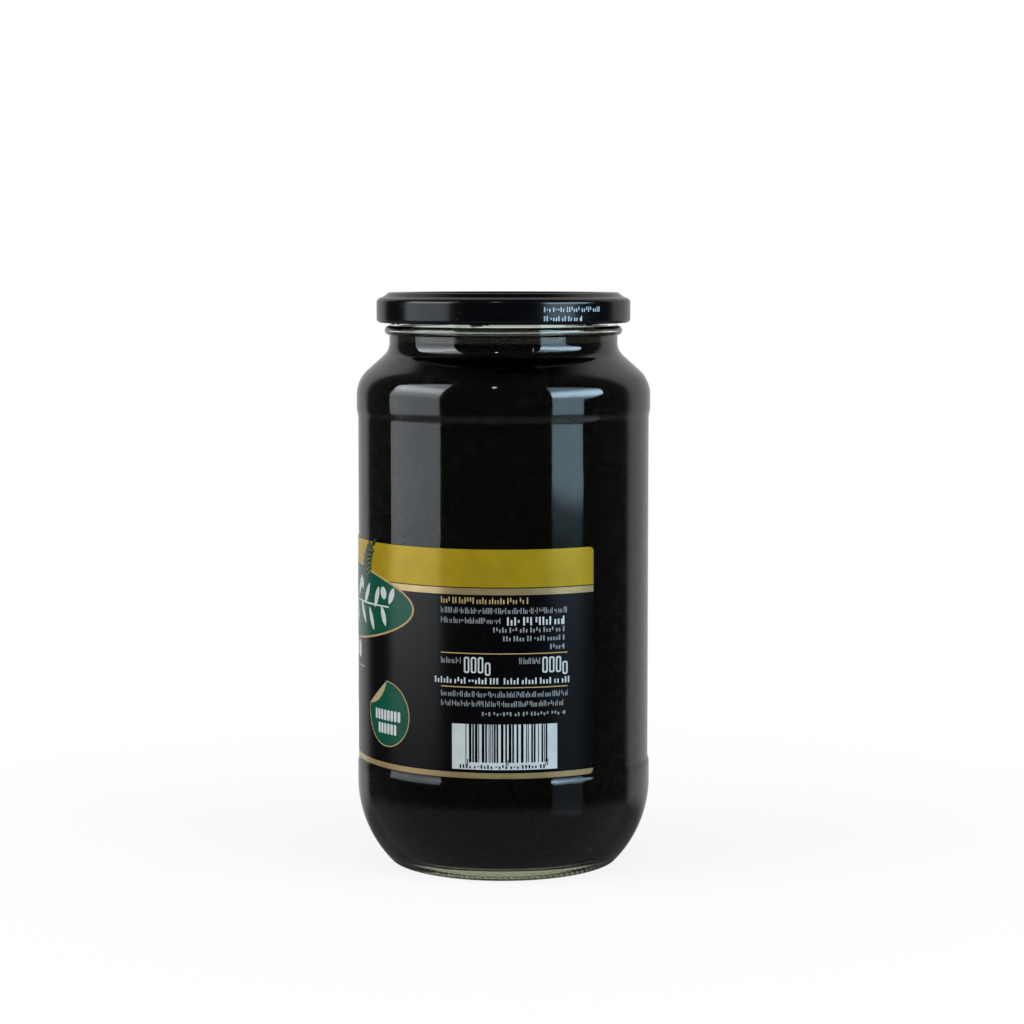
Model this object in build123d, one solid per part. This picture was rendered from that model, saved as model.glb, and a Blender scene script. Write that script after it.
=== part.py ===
from build123d import *
from math import acos, cos, degrees, radians, sin, sqrt
import os

# A closed jar of pitted black olives in dark brine: a glass jar with a twist-off lid and a wrap label.
# Millimetres, +Z up, origin at the bottom centre. The front faces -Y, and +X is on its right.

# Overall sizes
TOTAL_HEIGHT = 180.6  # from the bearing ring to the crest of the lid
BODY_DIAMETER = 93.0  # over the two guard rings
LID_DIAMETER = 80.3  # over the lid's skirt

# Glass wall and base
WALL = 2.9
FLOOR_THICKNESS = 4.6  # from the bearing ring up to the edge of the inner floor
FLOOR_RISE = 2.6  # crown of the inner floor at its centre
PUSH_UP = 3.6  # hollow under the base at its centre
BEARING_WIDTH = 1.8  # flat ring that the jar stands on

# Body, from the base upwards
HEEL_RADIUS = 36.0  # long curve from the base up to the lower guard ring
HEEL_HEIGHT = 25.5
HEEL_CORNER = 1.4  # between the bearing ring and the heel
FLOOR_CORNER = 5.0  # between the inner floor and the inner heel
LOWER_RING_HEIGHT = 5.7
LOWER_STEP = 2.4  # height of the slope from the lower guard ring in to the panel
PANEL_RECESS = 0.45
UPPER_STEP = 1.6
UPPER_RING_HEIGHT = 5.6
SHOULDER_RADIUS = 10.5
SHOULDER_SLOPE = 48.0  # degrees away from upright
NECK_FILLET = 5.5
NECK_LENGTH = 2.35  # plain neck between the shoulder and the bead

# Glass finish, which the lid grips
BEAD_REACH = 1.5  # out from the neck
BEAD_RADIUS = 1.5
BEAD_GAP = 0.9  # between the bead and the bottom of the lid
RIM_ROUNDING = 1.2
THREAD_COUNT = 6
THREAD_ARC = 50.0  # degrees that each thread covers
THREAD_TILT = 9.0  # degrees, up to the right
THREAD_CLEARANCE = 0.25  # from the threads to the lid's curl
THREAD_SEAT = 0.1  # from the top of a lug up to the underside of a thread's middle
FIRST_THREAD = -20.0  # degrees from +X to the middle of the first thread

# Lid, pressed from coated sheet with a rolled edge
LID_SHEET = 0.4
LID_HEIGHT = 9.55
LID_CREST = 3.0  # width of the flat crest, which seats on the glass rim
LID_CREST_ROUNDING = 0.6
LID_PANEL_DEPTH = 1.3
LID_PANEL_SLOPE = 1.5  # width of the slope between the crest and the sunk panel
LID_RISER_WIDTH = 1.6  # slope outside the crest, down to the shoulder
LID_RISER_DROP = 1.25
LID_SHOULDER_DROP = 0.85
LID_SHOULDER_ROUNDING = 1.3
BUTTON_DIAMETER = 26.0
BUTTON_HEIGHT = 0.45
BUTTON_SLOPE = 1.4
CURL_RADIUS = 1.3
LUG_ARC = 13.0  # degrees
LUG_HEIGHT = 1.2
LUG_BITE = 0.8  # how far each lug reaches in past the curl
LUG_LEAD = 8.0  # degrees from the middle of a thread to the lug under it
THREAD_ROOM = 3.65  # from the inside of the skirt to the neck

# Filling and label
HEADSPACE = 12.0  # from the rim down to the brine
LABEL_HEIGHT = 69.8
LABEL_THICKNESS = 0.15
LABEL_GLUE = 0.05
LABEL_FOOT = 0.3  # from the foot of the panel up to the label
LABEL_WRAP = 280.0  # degrees
LABEL_END = -53.5  # degrees from +X to the label's right-hand end
LABEL_CORNER = 1.5

# Sizes that follow from them
body_r = BODY_DIAMETER / 2
panel_r = body_r - PANEL_RECESS
lid_r = LID_DIAMETER / 2
neck_r = lid_r - LID_SHEET - THREAD_ROOM
rim_z = TOTAL_HEIGHT - LID_SHEET
lid_bottom_z = TOTAL_HEIGHT - LID_HEIGHT
bead_z = lid_bottom_z - BEAD_GAP - BEAD_RADIUS
neck_z = bead_z - BEAD_RADIUS - NECK_LENGTH
curl_z = lid_bottom_z + CURL_RADIUS
thread_radius = lid_r - 2 * CURL_RADIUS - THREAD_CLEARANCE - neck_r  # of a thread's half-round section
thread_z = curl_z + LUG_HEIGHT / 2 + THREAD_SEAT + thread_radius
panel_bottom_z = HEEL_HEIGHT + LOWER_RING_HEIGHT + LOWER_STEP


def arc(centre, radius, start, end):
    """Part of a circle between two angles in degrees, in either direction."""
    return CenterArc(centre, radius, start, end - start)


def revolved(*runs):
    """Solid of revolution about Z, from an outline whose ends are on the axis and whose gaps are straight."""
    outline = [runs[0]]
    for run in runs[1:]:
        if (run @ 0 - outline[-1] @ 1).length > 1e-6:
            outline.append(Line(outline[-1] @ 1, run @ 0))
        outline.append(run)
    outline.append(Line(outline[-1] @ 1, outline[0] @ 0))
    return revolve(Plane.XZ * make_face(outline), Axis.Z)


def dome(r, z, rise):
    """Arc from the axis, crowned by rise, out to r at z."""
    radius = (r**2 + rise**2) / (2 * rise)
    return arc((0, z + rise - radius), radius, 90, degrees(acos(r / radius)))


def heel(set_in, corner, base_z):
    """Corner arc and heel arc that lead from a level base up to the body's wall, set in by the glass."""
    radius = HEEL_RADIUS - set_in
    across = sqrt((radius - corner) ** 2 - (HEEL_HEIGHT - base_z - corner) ** 2)
    touch = -degrees(acos(across / (radius - corner)))
    axis_r = body_r - HEEL_RADIUS
    return (
        arc((axis_r + across, base_z + corner), corner, -90, touch),
        arc((axis_r, HEEL_HEIGHT), radius, touch, 0),
    )


def step(low_r, low_z, high_r, high_z):
    """Two equal arcs from one upright wall to another that stands a little further in or out."""
    middle = Vector((low_r + high_r) / 2, (low_z + high_z) / 2)
    lower = TangentArc((low_r, low_z), middle, tangent=(0, 1))
    return lower, TangentArc(middle, (high_r, high_z), tangent=lower % 1)


def shoulder(set_in):
    """Shoulder arc and neck fillet, with room for the cone between them, set in by the glass."""
    room = body_r - neck_r
    both = SHOULDER_RADIUS + NECK_FILLET
    turn = min(SHOULDER_SLOPE, degrees(acos(1 - room / both)))
    cone = (room - both * (1 - cos(radians(turn)))) / sin(radians(turn))
    foot_z = neck_z - both * sin(radians(turn)) - cone * cos(radians(turn))
    return (
        arc((body_r - SHOULDER_RADIUS, foot_z), SHOULDER_RADIUS - set_in, 0, turn),
        arc((neck_r + NECK_FILLET, neck_z), NECK_FILLET + set_in, 180 + turn, 180),
    )


def solid_body():
    """The jar's outside, filled up to the rim, with its guard rings, sunk panel and bead."""
    corner, side = heel(0, HEEL_CORNER, 0)
    rounding, fillet_arc = shoulder(0)
    ring_z = (rounding @ 0).Y - UPPER_RING_HEIGHT
    neck = Line((neck_r, neck_z), (neck_r, bead_z - BEAD_RADIUS))
    rim = arc((neck_r - RIM_ROUNDING, rim_z - RIM_ROUNDING), RIM_ROUNDING, 0, 90)
    return revolved(
        dome((corner @ 0).X - BEARING_WIDTH, 0, PUSH_UP),
        corner,
        side,
        *step(body_r, panel_bottom_z - LOWER_STEP, panel_r, panel_bottom_z),
        *step(panel_r, ring_z - UPPER_STEP, body_r, ring_z),
        rounding,
        fillet_arc,
        neck,
        arc((neck_r + BEAD_REACH - BEAD_RADIUS, bead_z), BEAD_RADIUS, -90, 90),
        Line((neck_r, bead_z + BEAD_RADIUS), rim @ 0),
        rim,
        Line(rim @ 1, (0, rim_z)),
    )


def cavity():
    """The room inside the jar, from its floor up to the rim."""
    corner, side = heel(WALL, FLOOR_CORNER, FLOOR_THICKNESS)
    mouth_r = neck_r - WALL
    lip = arc((mouth_r + RIM_ROUNDING, rim_z - RIM_ROUNDING), RIM_ROUNDING, 180, 90)
    return revolved(
        dome((corner @ 0).X, FLOOR_THICKNESS, FLOOR_RISE),
        corner,
        side,
        *shoulder(WALL),
        lip,
        Line(lip @ 1, (0, rim_z)),
    )


def thread(angle):
    """One half-round thread on the neck, which climbs to the right."""
    section = Plane.XZ * Pos(neck_r, 0) * Circle(thread_radius)
    ridge = Rot(Z=-THREAD_ARC / 2) * revolve(section, Axis.Z, THREAD_ARC)
    return Pos(Z=thread_z) * Rot(Z=angle) * Rot(X=THREAD_TILT) * ridge


def around(first):
    """Angles of the threads, or of the lugs under them, from the first one on."""
    return [first + i * 360 / THREAD_COUNT for i in range(THREAD_COUNT)]


def glass_jar():
    """Hollow glass jar with lug threads below its rim."""
    return solid_body().fuse(*[thread(angle) for angle in around(FIRST_THREAD)]) - cavity()


def contents():
    """Olives and brine, which fill the jar up to the brine's level."""
    return split(cavity(), Plane.XY.offset(rim_z - HEADSPACE), keep=Keep.BOTTOM)


def lid_skin():
    """Pressed sheet from the button at the centre out to the foot of the skirt."""
    crest_z = TOTAL_HEIGHT - LID_SHEET / 2
    panel_z = crest_z - LID_PANEL_DEPTH
    crest_out_r = neck_r - WALL / 2 + LID_CREST / 2
    crest_in_r = crest_out_r - LID_CREST
    riser_foot = (crest_out_r + LID_RISER_WIDTH, crest_z - LID_RISER_DROP)
    skirt_r = lid_r - LID_SHEET / 2
    line = FilletPolyline(
        (0, panel_z + BUTTON_HEIGHT),
        (BUTTON_DIAMETER / 2, panel_z + BUTTON_HEIGHT),
        (BUTTON_DIAMETER / 2 + BUTTON_SLOPE, panel_z),
        (crest_in_r - LID_PANEL_SLOPE, panel_z),
        (crest_in_r, crest_z),
        (crest_out_r, crest_z),
        riser_foot,
        (skirt_r, riser_foot[1] - LID_SHOULDER_DROP),
        (skirt_r, curl_z),
        radius=[LID_CREST_ROUNDING] * 6 + [LID_SHOULDER_ROUNDING],
    )
    return revolve(Plane.XZ * trace(line, LID_SHEET), Axis.Z)


def lug(angle):
    """One short tongue that reaches in from the curl under a thread."""
    length = CURL_RADIUS + LUG_BITE
    middle = Pos(lid_r - 2 * CURL_RADIUS - LUG_BITE + length / 2, curl_z)
    section = Plane.XZ * middle * SlotOverall(length, LUG_HEIGHT)
    return Rot(Z=angle - LUG_ARC / 2) * revolve(section, Axis.Z, LUG_ARC)


def lid():
    """Twist-off lid: its skin, the curl at its foot and the lugs that grip the threads."""
    section = Pos(lid_r - CURL_RADIUS, curl_z) * Circle(CURL_RADIUS)
    curl = revolve(Plane.XZ * section, Axis.Z)
    return lid_skin().fuse(curl, *[lug(angle) for angle in around(FIRST_THREAD + LUG_LEAD)])


def label():
    """Wrap label on the sunk panel, open at the back right, with rounded corners."""
    inner_r = panel_r + LABEL_GLUE
    middle_z = panel_bottom_z + LABEL_FOOT + LABEL_HEIGHT / 2
    section = Pos(inner_r + LABEL_THICKNESS / 2, middle_z) * Rectangle(LABEL_THICKNESS, LABEL_HEIGHT)
    band = Rot(Z=LABEL_END - LABEL_WRAP) * revolve(Plane.XZ * section, Axis.Z, LABEL_WRAP)
    return fillet(band.edges().sort_by(Edge.length)[:4], LABEL_CORNER)


os.makedirs("parts", exist_ok=True)
for name, shape in {"glass_jar": glass_jar(), "contents": contents(), "lid": lid(), "label": label()}.items():
    export_step(shape, f"parts/{name}.step")
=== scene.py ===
"""Looks of a closed jar of pitted black olives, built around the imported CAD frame.

The jar is spun clear glass with guard rings, a bead, lug threads, mould seams and a knurled foot. It holds
near-black brine over a dark core, with pitted olives against the wall, under a black twist-off lid. A wrap
label with plain, wordless print sits in the sunk panel. Sizes in the classes are millimetres, and meshes are
metres.
"""

import logging
import math
import random
from dataclasses import dataclass, field
from enum import Enum
from typing import Callable, Optional, Sequence

import bpy
import numpy as np
from mathutils import Matrix, Quaternion, Vector


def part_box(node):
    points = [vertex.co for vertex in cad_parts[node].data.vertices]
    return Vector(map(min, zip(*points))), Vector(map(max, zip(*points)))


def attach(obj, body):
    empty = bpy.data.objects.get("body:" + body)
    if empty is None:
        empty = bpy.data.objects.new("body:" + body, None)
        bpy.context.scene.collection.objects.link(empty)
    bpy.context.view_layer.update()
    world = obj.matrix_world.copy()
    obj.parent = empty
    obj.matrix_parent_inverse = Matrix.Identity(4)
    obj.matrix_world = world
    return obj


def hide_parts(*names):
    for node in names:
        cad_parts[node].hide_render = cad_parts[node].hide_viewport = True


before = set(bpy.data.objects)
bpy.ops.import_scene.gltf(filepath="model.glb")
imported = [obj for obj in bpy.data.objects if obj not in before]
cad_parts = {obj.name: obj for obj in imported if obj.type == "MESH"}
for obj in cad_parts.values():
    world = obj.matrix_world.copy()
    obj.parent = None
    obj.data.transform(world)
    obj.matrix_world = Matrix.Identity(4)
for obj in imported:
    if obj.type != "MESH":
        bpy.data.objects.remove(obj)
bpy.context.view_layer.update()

MM = 0.001
BODY = "root"
Point = tuple[float, float]
Colour = tuple[float, float, float]
Piece = bpy.types.Object

logging.basicConfig(level=logging.INFO, format="%(levelname)s %(name)s: %(message)s")
log = logging.getLogger("olive_jar")


# ---------------------------------------------------------------------------------------------------------
# Modelling by operators
# ---------------------------------------------------------------------------------------------------------


def node_box(node: str) -> tuple[Vector, Vector]:
    """Lowest and highest corner of a CAD node.

    Args:
        node: Name of the CAD node.

    Returns:
        The two corners, in millimetres.
    """
    low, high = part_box(node)
    return low / MM, high / MM


def pick(*pieces: Piece) -> None:
    """Deselects everything, then selects these pieces and makes the first one active."""
    bpy.ops.object.select_all(action="DESELECT")
    for piece in pieces:
        piece.select_set(True)
    bpy.context.view_layer.objects.active = pieces[0]


class Editing:
    """Edit mode on one piece, as a with block."""

    def __init__(self, piece: Piece) -> None:
        """Keeps the piece to edit."""
        self.piece = piece

    def __enter__(self) -> "Editing":
        """Enters edit mode with everything on the piece selected."""
        pick(self.piece)
        bpy.ops.object.mode_set(mode="EDIT")
        bpy.ops.mesh.select_all(action="SELECT")
        return self

    def __exit__(self, *error: object) -> None:
        """Goes back to object mode."""
        bpy.ops.object.mode_set(mode="OBJECT")

    def select_faces(self, wanted: Callable[[Vector], bool]) -> int:
        """Selects the faces whose centre is wanted.

        Args:
            wanted: Test on a face's centre, in metres.

        Returns:
            How many faces are selected.
        """
        bpy.ops.mesh.select_mode(type="FACE")
        bpy.ops.mesh.select_all(action="DESELECT")
        bpy.ops.object.mode_set(mode="OBJECT")
        count = 0
        for face in self.piece.data.polygons:
            face.select = wanted(face.center)
            count += face.select
        bpy.ops.object.mode_set(mode="EDIT")
        return count


def place_in_mesh(piece: Piece) -> Piece:
    """Moves a piece's location, turn and scale into its mesh, and returns the piece."""
    pick(piece)
    bpy.ops.object.transform_apply(location=True, rotation=True, scale=True)
    return piece


def apply_modifier(piece: Piece, kind: str, **settings: object) -> None:
    """Adds a modifier with these settings and applies it.

    Args:
        piece: The piece to change.
        kind: Type of modifier.
        settings: The modifier's properties.
    """
    pick(piece)
    modifier = piece.modifiers.new(kind.lower(), kind)
    for key, value in settings.items():
        setattr(modifier, key, value)
    bpy.ops.object.modifier_apply(modifier=modifier.name)


def join(name: str, pieces: Sequence[Piece]) -> Piece:
    """Joins pieces into one.

    Args:
        name: The joined piece's name.
        pieces: What to join.

    Returns:
        The joined piece.
    """
    pick(*pieces)
    if len(pieces) > 1:
        bpy.ops.object.join()
    joined = bpy.context.object
    joined.name = joined.data.name = name
    return joined


def copy_of(model: Piece, matrix: Matrix) -> Piece:
    """Copies a modelled piece, with its own mesh, to another place.

    Args:
        model: What to copy.
        matrix: Where the copy goes, which is put into its mesh.

    Returns:
        The copy.
    """
    twin = model.copy()
    twin.data = model.data.copy()
    twin.data.transform(matrix)
    bpy.context.collection.objects.link(twin)
    return twin


def spin_outline(name: str, outline: Sequence[Point], steps: int) -> Piece:
    """Closed piece of revolution about Z, whose outline is drawn point by point and then spun.

    Args:
        name: The piece's name.
        outline: Radius and height of each point, in millimetres, with both ends on the axis.
        steps: Number of columns round the piece.

    Returns:
        The piece, with its faces outward and its poles closed.
    """
    (r, z), *rest = outline
    bpy.ops.mesh.primitive_plane_add(size=MM, location=(r * MM, 0, z * MM))
    piece = place_in_mesh(bpy.context.object)
    piece.name = piece.data.name = name
    with Editing(piece):
        bpy.ops.mesh.select_mode(type="VERT")
        bpy.ops.mesh.merge(type="CENTER")
        for next_r, next_z in rest:
            step = ((next_r - r) * MM, 0, (next_z - z) * MM)
            bpy.ops.mesh.extrude_region_move(TRANSFORM_OT_translate={"value": step})
            r, z = next_r, next_z
        bpy.ops.mesh.select_all(action="SELECT")
        bpy.ops.mesh.spin(steps=steps, angle=math.tau, center=(0, 0, 0), axis=(0, 0, 1))
        bpy.ops.mesh.select_all(action="SELECT")
        bpy.ops.mesh.remove_doubles(threshold=2e-6)
        bpy.ops.mesh.normals_make_consistent(inside=False)
    return piece


def move_points(piece: Piece, mover: Callable[[np.ndarray], np.ndarray]) -> None:
    """Moves a piece's vertices by their place.

    Args:
        piece: The piece to change.
        mover: Takes the places in millimetres, one row each, and returns the new ones.
    """
    flat = np.zeros(len(piece.data.vertices) * 3)
    piece.data.vertices.foreach_get("co", flat)
    moved = mover(flat.reshape(-1, 3) / MM) * MM
    piece.data.vertices.foreach_set("co", moved.ravel())
    piece.data.update()


def smooth(piece: Piece, angle: float = 40.0) -> None:
    """Shades a piece smooth, except over edges sharper than the angle in degrees."""
    pick(piece)
    bpy.ops.object.shade_smooth_by_angle(angle=math.radians(angle))


def settle_in(piece: Piece, slot: str, *replaced: str) -> Piece:
    """Hands a finished piece over to the frame.

    Args:
        piece: The finished piece.
        slot: The record's material slot for the piece, which is only written to the log.
        replaced: CAD nodes that it stands for.

    Returns:
        The piece.
    """
    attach(piece, BODY)
    if replaced:
        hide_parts(*replaced)
    log.info("%s: %d vertices, slot %s", piece.name, len(piece.data.vertices), slot)
    return piece


# ---------------------------------------------------------------------------------------------------------
# Outlines, in millimetres
# ---------------------------------------------------------------------------------------------------------


def arc(centre: Point, radius: float, start: float, end: float, steps: int) -> list[Point]:
    """Points along part of a circle.

    Args:
        centre: The circle's centre.
        radius: Its radius.
        start: First angle in degrees.
        end: Last angle in degrees.
        steps: Number of chords.

    Returns:
        The points, both ends included.
    """
    angles = [math.radians(start + (end - start) * i / steps) for i in range(steps + 1)]
    return [(centre[0] + radius * math.cos(a), centre[1] + radius * math.sin(a)) for a in angles]


def dome(r: float, z: float, rise: float, steps: int) -> list[Point]:
    """Points from the axis, crowned by rise, out to r at z."""
    radius = (r**2 + rise**2) / (2 * rise)
    return arc((0, z + rise - radius), radius, 90, math.degrees(math.acos(r / radius)), steps)


def ease(low: Point, high: Point, steps: int) -> list[Point]:
    """Points of a smooth step between two upright walls."""
    rise, reach = high[1] - low[1], high[0] - low[0]
    shares = [i / steps for i in range(steps + 1)]
    return [(low[0] + reach * (1 - math.cos(math.pi * t)) / 2, low[1] + rise * t) for t in shares]


def run(start: Point, end: Point, steps: int) -> list[Point]:
    """Evenly spaced points on a straight run, both ends included."""
    return [tuple(a + (b - a) * i / steps for a, b in zip(start, end)) for i in range(steps + 1)]


def brace(
    line: Sequence[Point], margin: float = 0.35, shortest: float = 3.0, longest: float = 8.0
) -> list[Point]:
    """Line with extra points on its long straight runs, which keep smooth shading flat along them.

    Args:
        line: The line's points.
        margin: How far from each end of a run its first extra point lies.
        shortest: Runs shorter than this stay as they are.
        longest: Widest spacing of the extra points.

    Returns:
        The points.
    """
    braced = [line[0]]
    for start, end in zip(line, line[1:]):
        length = math.dist(start, end)
        if length > shortest:
            near = tuple(a + (b - a) * margin / length for a, b in zip(start, end))
            far = tuple(b + (a - b) * margin / length for a, b in zip(start, end))
            braced.extend(run(near, far, math.ceil(length / longest)))
        braced.append(end)
    return braced


def rounded(corners: Sequence[Point], radii: Sequence[float], steps: int) -> list[Point]:
    """Points of a line whose inner corners are rounded.

    Args:
        corners: The line's corners.
        radii: Rounding of each corner but the two ends.
        steps: Chords in each rounding.

    Returns:
        The points.
    """
    line = [Vector(corners[0])]
    for before, corner, after, radius in zip(corners, corners[1:], corners[2:], radii):
        back = (Vector(before) - Vector(corner)).normalized()
        on = (Vector(after) - Vector(corner)).normalized()
        half = back.angle(on) / 2
        centre = Vector(corner) + (back + on).normalized() * radius / math.sin(half)
        first = Vector(corner) + back * radius / math.tan(half) - centre
        last = Vector(corner) + on * radius / math.tan(half) - centre
        for i in range(steps + 1):
            line.append(centre + first.slerp(last, i / steps).normalized() * radius)
    line.append(Vector(corners[-1]))
    return [tuple(point) for point in line]


def set_off(line: Sequence[Point], distance: float) -> list[Point]:
    """Line set off to its left by a distance, with each end square to its first or last chord."""
    points = [Vector(point) for point in line]
    result = []
    for i, point in enumerate(points):
        along = points[min(i + 1, len(points) - 1)] - points[max(i - 1, 0)]
        along.normalize()
        result.append(tuple(point + Vector((-along.y, along.x)) * distance))
    return result


# ---------------------------------------------------------------------------------------------------------
# Shader nodes
# ---------------------------------------------------------------------------------------------------------


class Value:
    """A number that varies over a surface: arithmetic on it adds Math nodes."""

    def __init__(self, bench: "NodeBench", socket: bpy.types.NodeSocket) -> None:
        """Keeps the socket that gives the number."""
        self.bench = bench
        self.socket = socket

    def _math(self, operation: str, first: object, second: object) -> "Value":
        """Adds one Math node and returns its result."""
        made = self.bench.node("ShaderNodeMath", {"operation": operation}, {0: first, 1: second})
        return Value(self.bench, made.outputs[0])

    def __add__(self, other: object) -> "Value":
        """Sum."""
        return self._math("ADD", self, other)

    __radd__ = __add__

    def __sub__(self, other: object) -> "Value":
        """Difference."""
        return self._math("SUBTRACT", self, other)

    def __rsub__(self, other: object) -> "Value":
        """Difference, the other way round."""
        return self._math("SUBTRACT", other, self)

    def __mul__(self, other: object) -> "Value":
        """Product."""
        return self._math("MULTIPLY", self, other)

    __rmul__ = __mul__

    def __truediv__(self, other: object) -> "Value":
        """Quotient."""
        return self._math("DIVIDE", self, other)

    def __pow__(self, other: object) -> "Value":
        """Power."""
        return self._math("POWER", self, other)

    def greatest(self, other: object) -> "Value":
        """The larger of two."""
        return self._math("MAXIMUM", self, other)

    def between(self, low: float, high: float, start: float = 0.0, end: float = 1.0) -> "Value":
        """Smooth step from start to end as the number goes from low to high."""
        settings = {"interpolation_type": "SMOOTHSTEP"}
        values = {"Value": self, "From Min": low, "From Max": high, "To Min": start, "To Max": end}
        return Value(self.bench, self.bench.node("ShaderNodeMapRange", settings, values).outputs["Result"])


class NodeBench:
    """Adds and links the nodes of one tree."""

    def __init__(self, tree: bpy.types.NodeTree) -> None:
        """Clears the tree.

        Args:
            tree: A material's, lamp's or world's node tree.
        """
        self.tree = tree
        tree.nodes.clear()

    def node(
        self, kind: str, settings: Optional[dict] = None, values: Optional[dict] = None
    ) -> bpy.types.Node:
        """Adds a node.

        Args:
            kind: The node's type.
            settings: Its properties.
            values: A number, colour, socket or Value for each of its inputs, by name or place.

        Returns:
            The node.
        """
        made = self.tree.nodes.new(kind)
        for key, setting in (settings or {}).items():
            setattr(made, key, setting)
        for key, given in (values or {}).items():
            socket = made.inputs[key]
            if isinstance(given, Value):
                given = given.socket
            if isinstance(given, bpy.types.NodeSocket):
                self.tree.links.new(given, socket)
            elif socket.type == "RGBA":
                socket.default_value = (*given[:3], 1.0)
            else:
                socket.default_value = given
        return made

    def value(self, socket: bpy.types.NodeSocket) -> Value:
        """Wraps a socket for arithmetic."""
        return Value(self, socket)

    def place(self) -> bpy.types.NodeSocket:
        """Object coordinates, which are metres in the row's frame."""
        return self.node("ShaderNodeTexCoord").outputs["Object"]

    def axes(self, vector: bpy.types.NodeSocket) -> tuple[Value, Value, Value]:
        """Splits a vector into its three numbers."""
        split = self.node("ShaderNodeSeparateXYZ", values={0: vector})
        return tuple(Value(self, out) for out in split.outputs)

    def noise(
        self, scale: float, detail: float = 2.0, stretch: Colour = (1, 1, 1), seed: float = 0.0
    ) -> Value:
        """Cloudy pattern.

        Args:
            scale: Clouds per metre.
            detail: Number of finer layers.
            stretch: Scale along each axis.
            seed: Shift of the pattern, in metres.

        Returns:
            A number around one half.
        """
        shifted = {"Vector": self.place(), "Location": (seed,) * 3, "Scale": stretch}
        mapped = self.node("ShaderNodeMapping", {"vector_type": "POINT"}, shifted)
        values = {"Vector": mapped.outputs[0], "Scale": scale, "Detail": detail}
        return Value(self, self.node("ShaderNodeTexNoise", values=values).outputs[0])

    def blend(self, share: object, first: object, second: object) -> bpy.types.NodeSocket:
        """Colour between two colours.

        Args:
            share: How much of the second, from 0 to 1.
            first: A colour or its socket.
            second: A colour or its socket.

        Returns:
            The blended colour.
        """
        values = {0: share, 6: first, 7: second}
        return self.node("ShaderNodeMix", {"data_type": "RGBA"}, values).outputs[2]

    def bump(self, height: Value, distance: float) -> bpy.types.NodeSocket:
        """Normal of a surface with fine relief.

        Args:
            height: The relief, from 0 to 1.
            distance: Its full height in metres.

        Returns:
            The normal.
        """
        values = {"Height": height, "Distance": distance, "Strength": 1.0}
        return self.node("ShaderNodeBump", values=values).outputs[0]

    def surface(self, values: dict) -> None:
        """Ends the tree in a Principled shader with these inputs."""
        shader = self.node("ShaderNodeBsdfPrincipled", values=values)
        self.node("ShaderNodeOutputMaterial", values={"Surface": shader.outputs[0]})

    def volume(self, shader: bpy.types.Node) -> None:
        """Links a volume shader to the tree's output."""
        output = next(n for n in self.tree.nodes if n.type == "OUTPUT_MATERIAL")
        self.tree.links.new(shader.outputs[0], output.inputs["Volume"])


def new_material(name: str, colour: Colour) -> tuple[bpy.types.Material, NodeBench]:
    """Makes an empty node material.

    Args:
        name: Its name.
        colour: Its plain colour outside renders.

    Returns:
        The material and the bench for its nodes.
    """
    material = bpy.data.materials.new(name)
    material.use_nodes = True
    material.diffuse_color = (*colour, 1.0)
    return material, NodeBench(material.node_tree)


# ---------------------------------------------------------------------------------------------------------
# Finishes
# ---------------------------------------------------------------------------------------------------------


@dataclass(frozen=True)
class ClearGlass:
    """Clear glass with a faint green cast and the slow waves of a blown wall."""

    name: str = "clear_glass"
    tint: Colour = (0.86, 0.90, 0.84)
    cast: Colour = (0.83, 0.875, 0.78)
    density: float = 50.0
    refraction: float = 1.52
    mirror: float = 1.0  # share of the reflection that is left, which is little where brine wets the glass
    wave_scale: float = 90.0
    ripple_scale: float = 620.0
    wave_height: float = 0.016 * MM

    def make(self) -> bpy.types.Material:
        """Builds the material."""
        material, bench = new_material(self.name, self.tint)
        waves = bench.noise(self.wave_scale, 1.0, (1, 1, 0.55))
        ripples = bench.noise(self.ripple_scale, 1.0, (1, 1, 0.6), 3.1)
        relief = waves * 0.9 + ripples * 0.1
        bench.surface({
            "Base Color": self.tint,
            "Roughness": 0.0,
            "IOR": self.refraction,
            "Transmission Weight": 1.0,
            "Specular Tint": (self.mirror,) * 3,
            "Normal": bench.bump(relief, self.wave_height),
        })
        values = {"Color": self.cast, "Density": self.density}
        bench.volume(bench.node("ShaderNodeVolumeAbsorption", values=values))
        return material


@dataclass(frozen=True)
class DarkBrine:
    """Brine stained nearly black, which hides what lies more than a few millimetres in."""

    name: str = "dark_brine"
    stain: Colour = (0.44, 0.30, 0.20)
    density: float = 3000.0

    def make(self) -> bpy.types.Material:
        """Builds the material."""
        material, bench = new_material(self.name, (0.02, 0.014, 0.01))
        bench.surface({
            "Base Color": (1.0, 1.0, 1.0),
            "Roughness": 0.0,
            "IOR": 1.34,
            "Transmission Weight": 1.0,
            "Specular Tint": (0.1, 0.1, 0.1),
        })
        values = {"Color": self.stain, "Density": self.density}
        bench.volume(bench.node("ShaderNodeVolumeAbsorption", values=values))
        return material


@dataclass(frozen=True)
class OliveSkin:
    """Smooth black skin, mottled brown."""

    name: str = "olive_skin"
    skin: Colour = (0.022, 0.018, 0.015)
    mottle: Colour = (0.050, 0.036, 0.027)
    roughness: float = 0.42

    def make(self) -> bpy.types.Material:
        """Builds the material."""
        material, bench = new_material(self.name, self.skin)
        patches = bench.noise(130, 3.0)
        pores = bench.noise(1500, 2.0, seed=1.7)
        bench.surface({
            "Base Color": bench.blend(patches.between(0.48, 0.72), self.skin, self.mottle),
            "Roughness": patches * 0.2 + (self.roughness - 0.1),
            "IOR": 1.1,
            "Specular IOR Level": 0.0,
            "Normal": bench.bump(pores, 0.01 * MM),
        })
        return material


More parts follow.
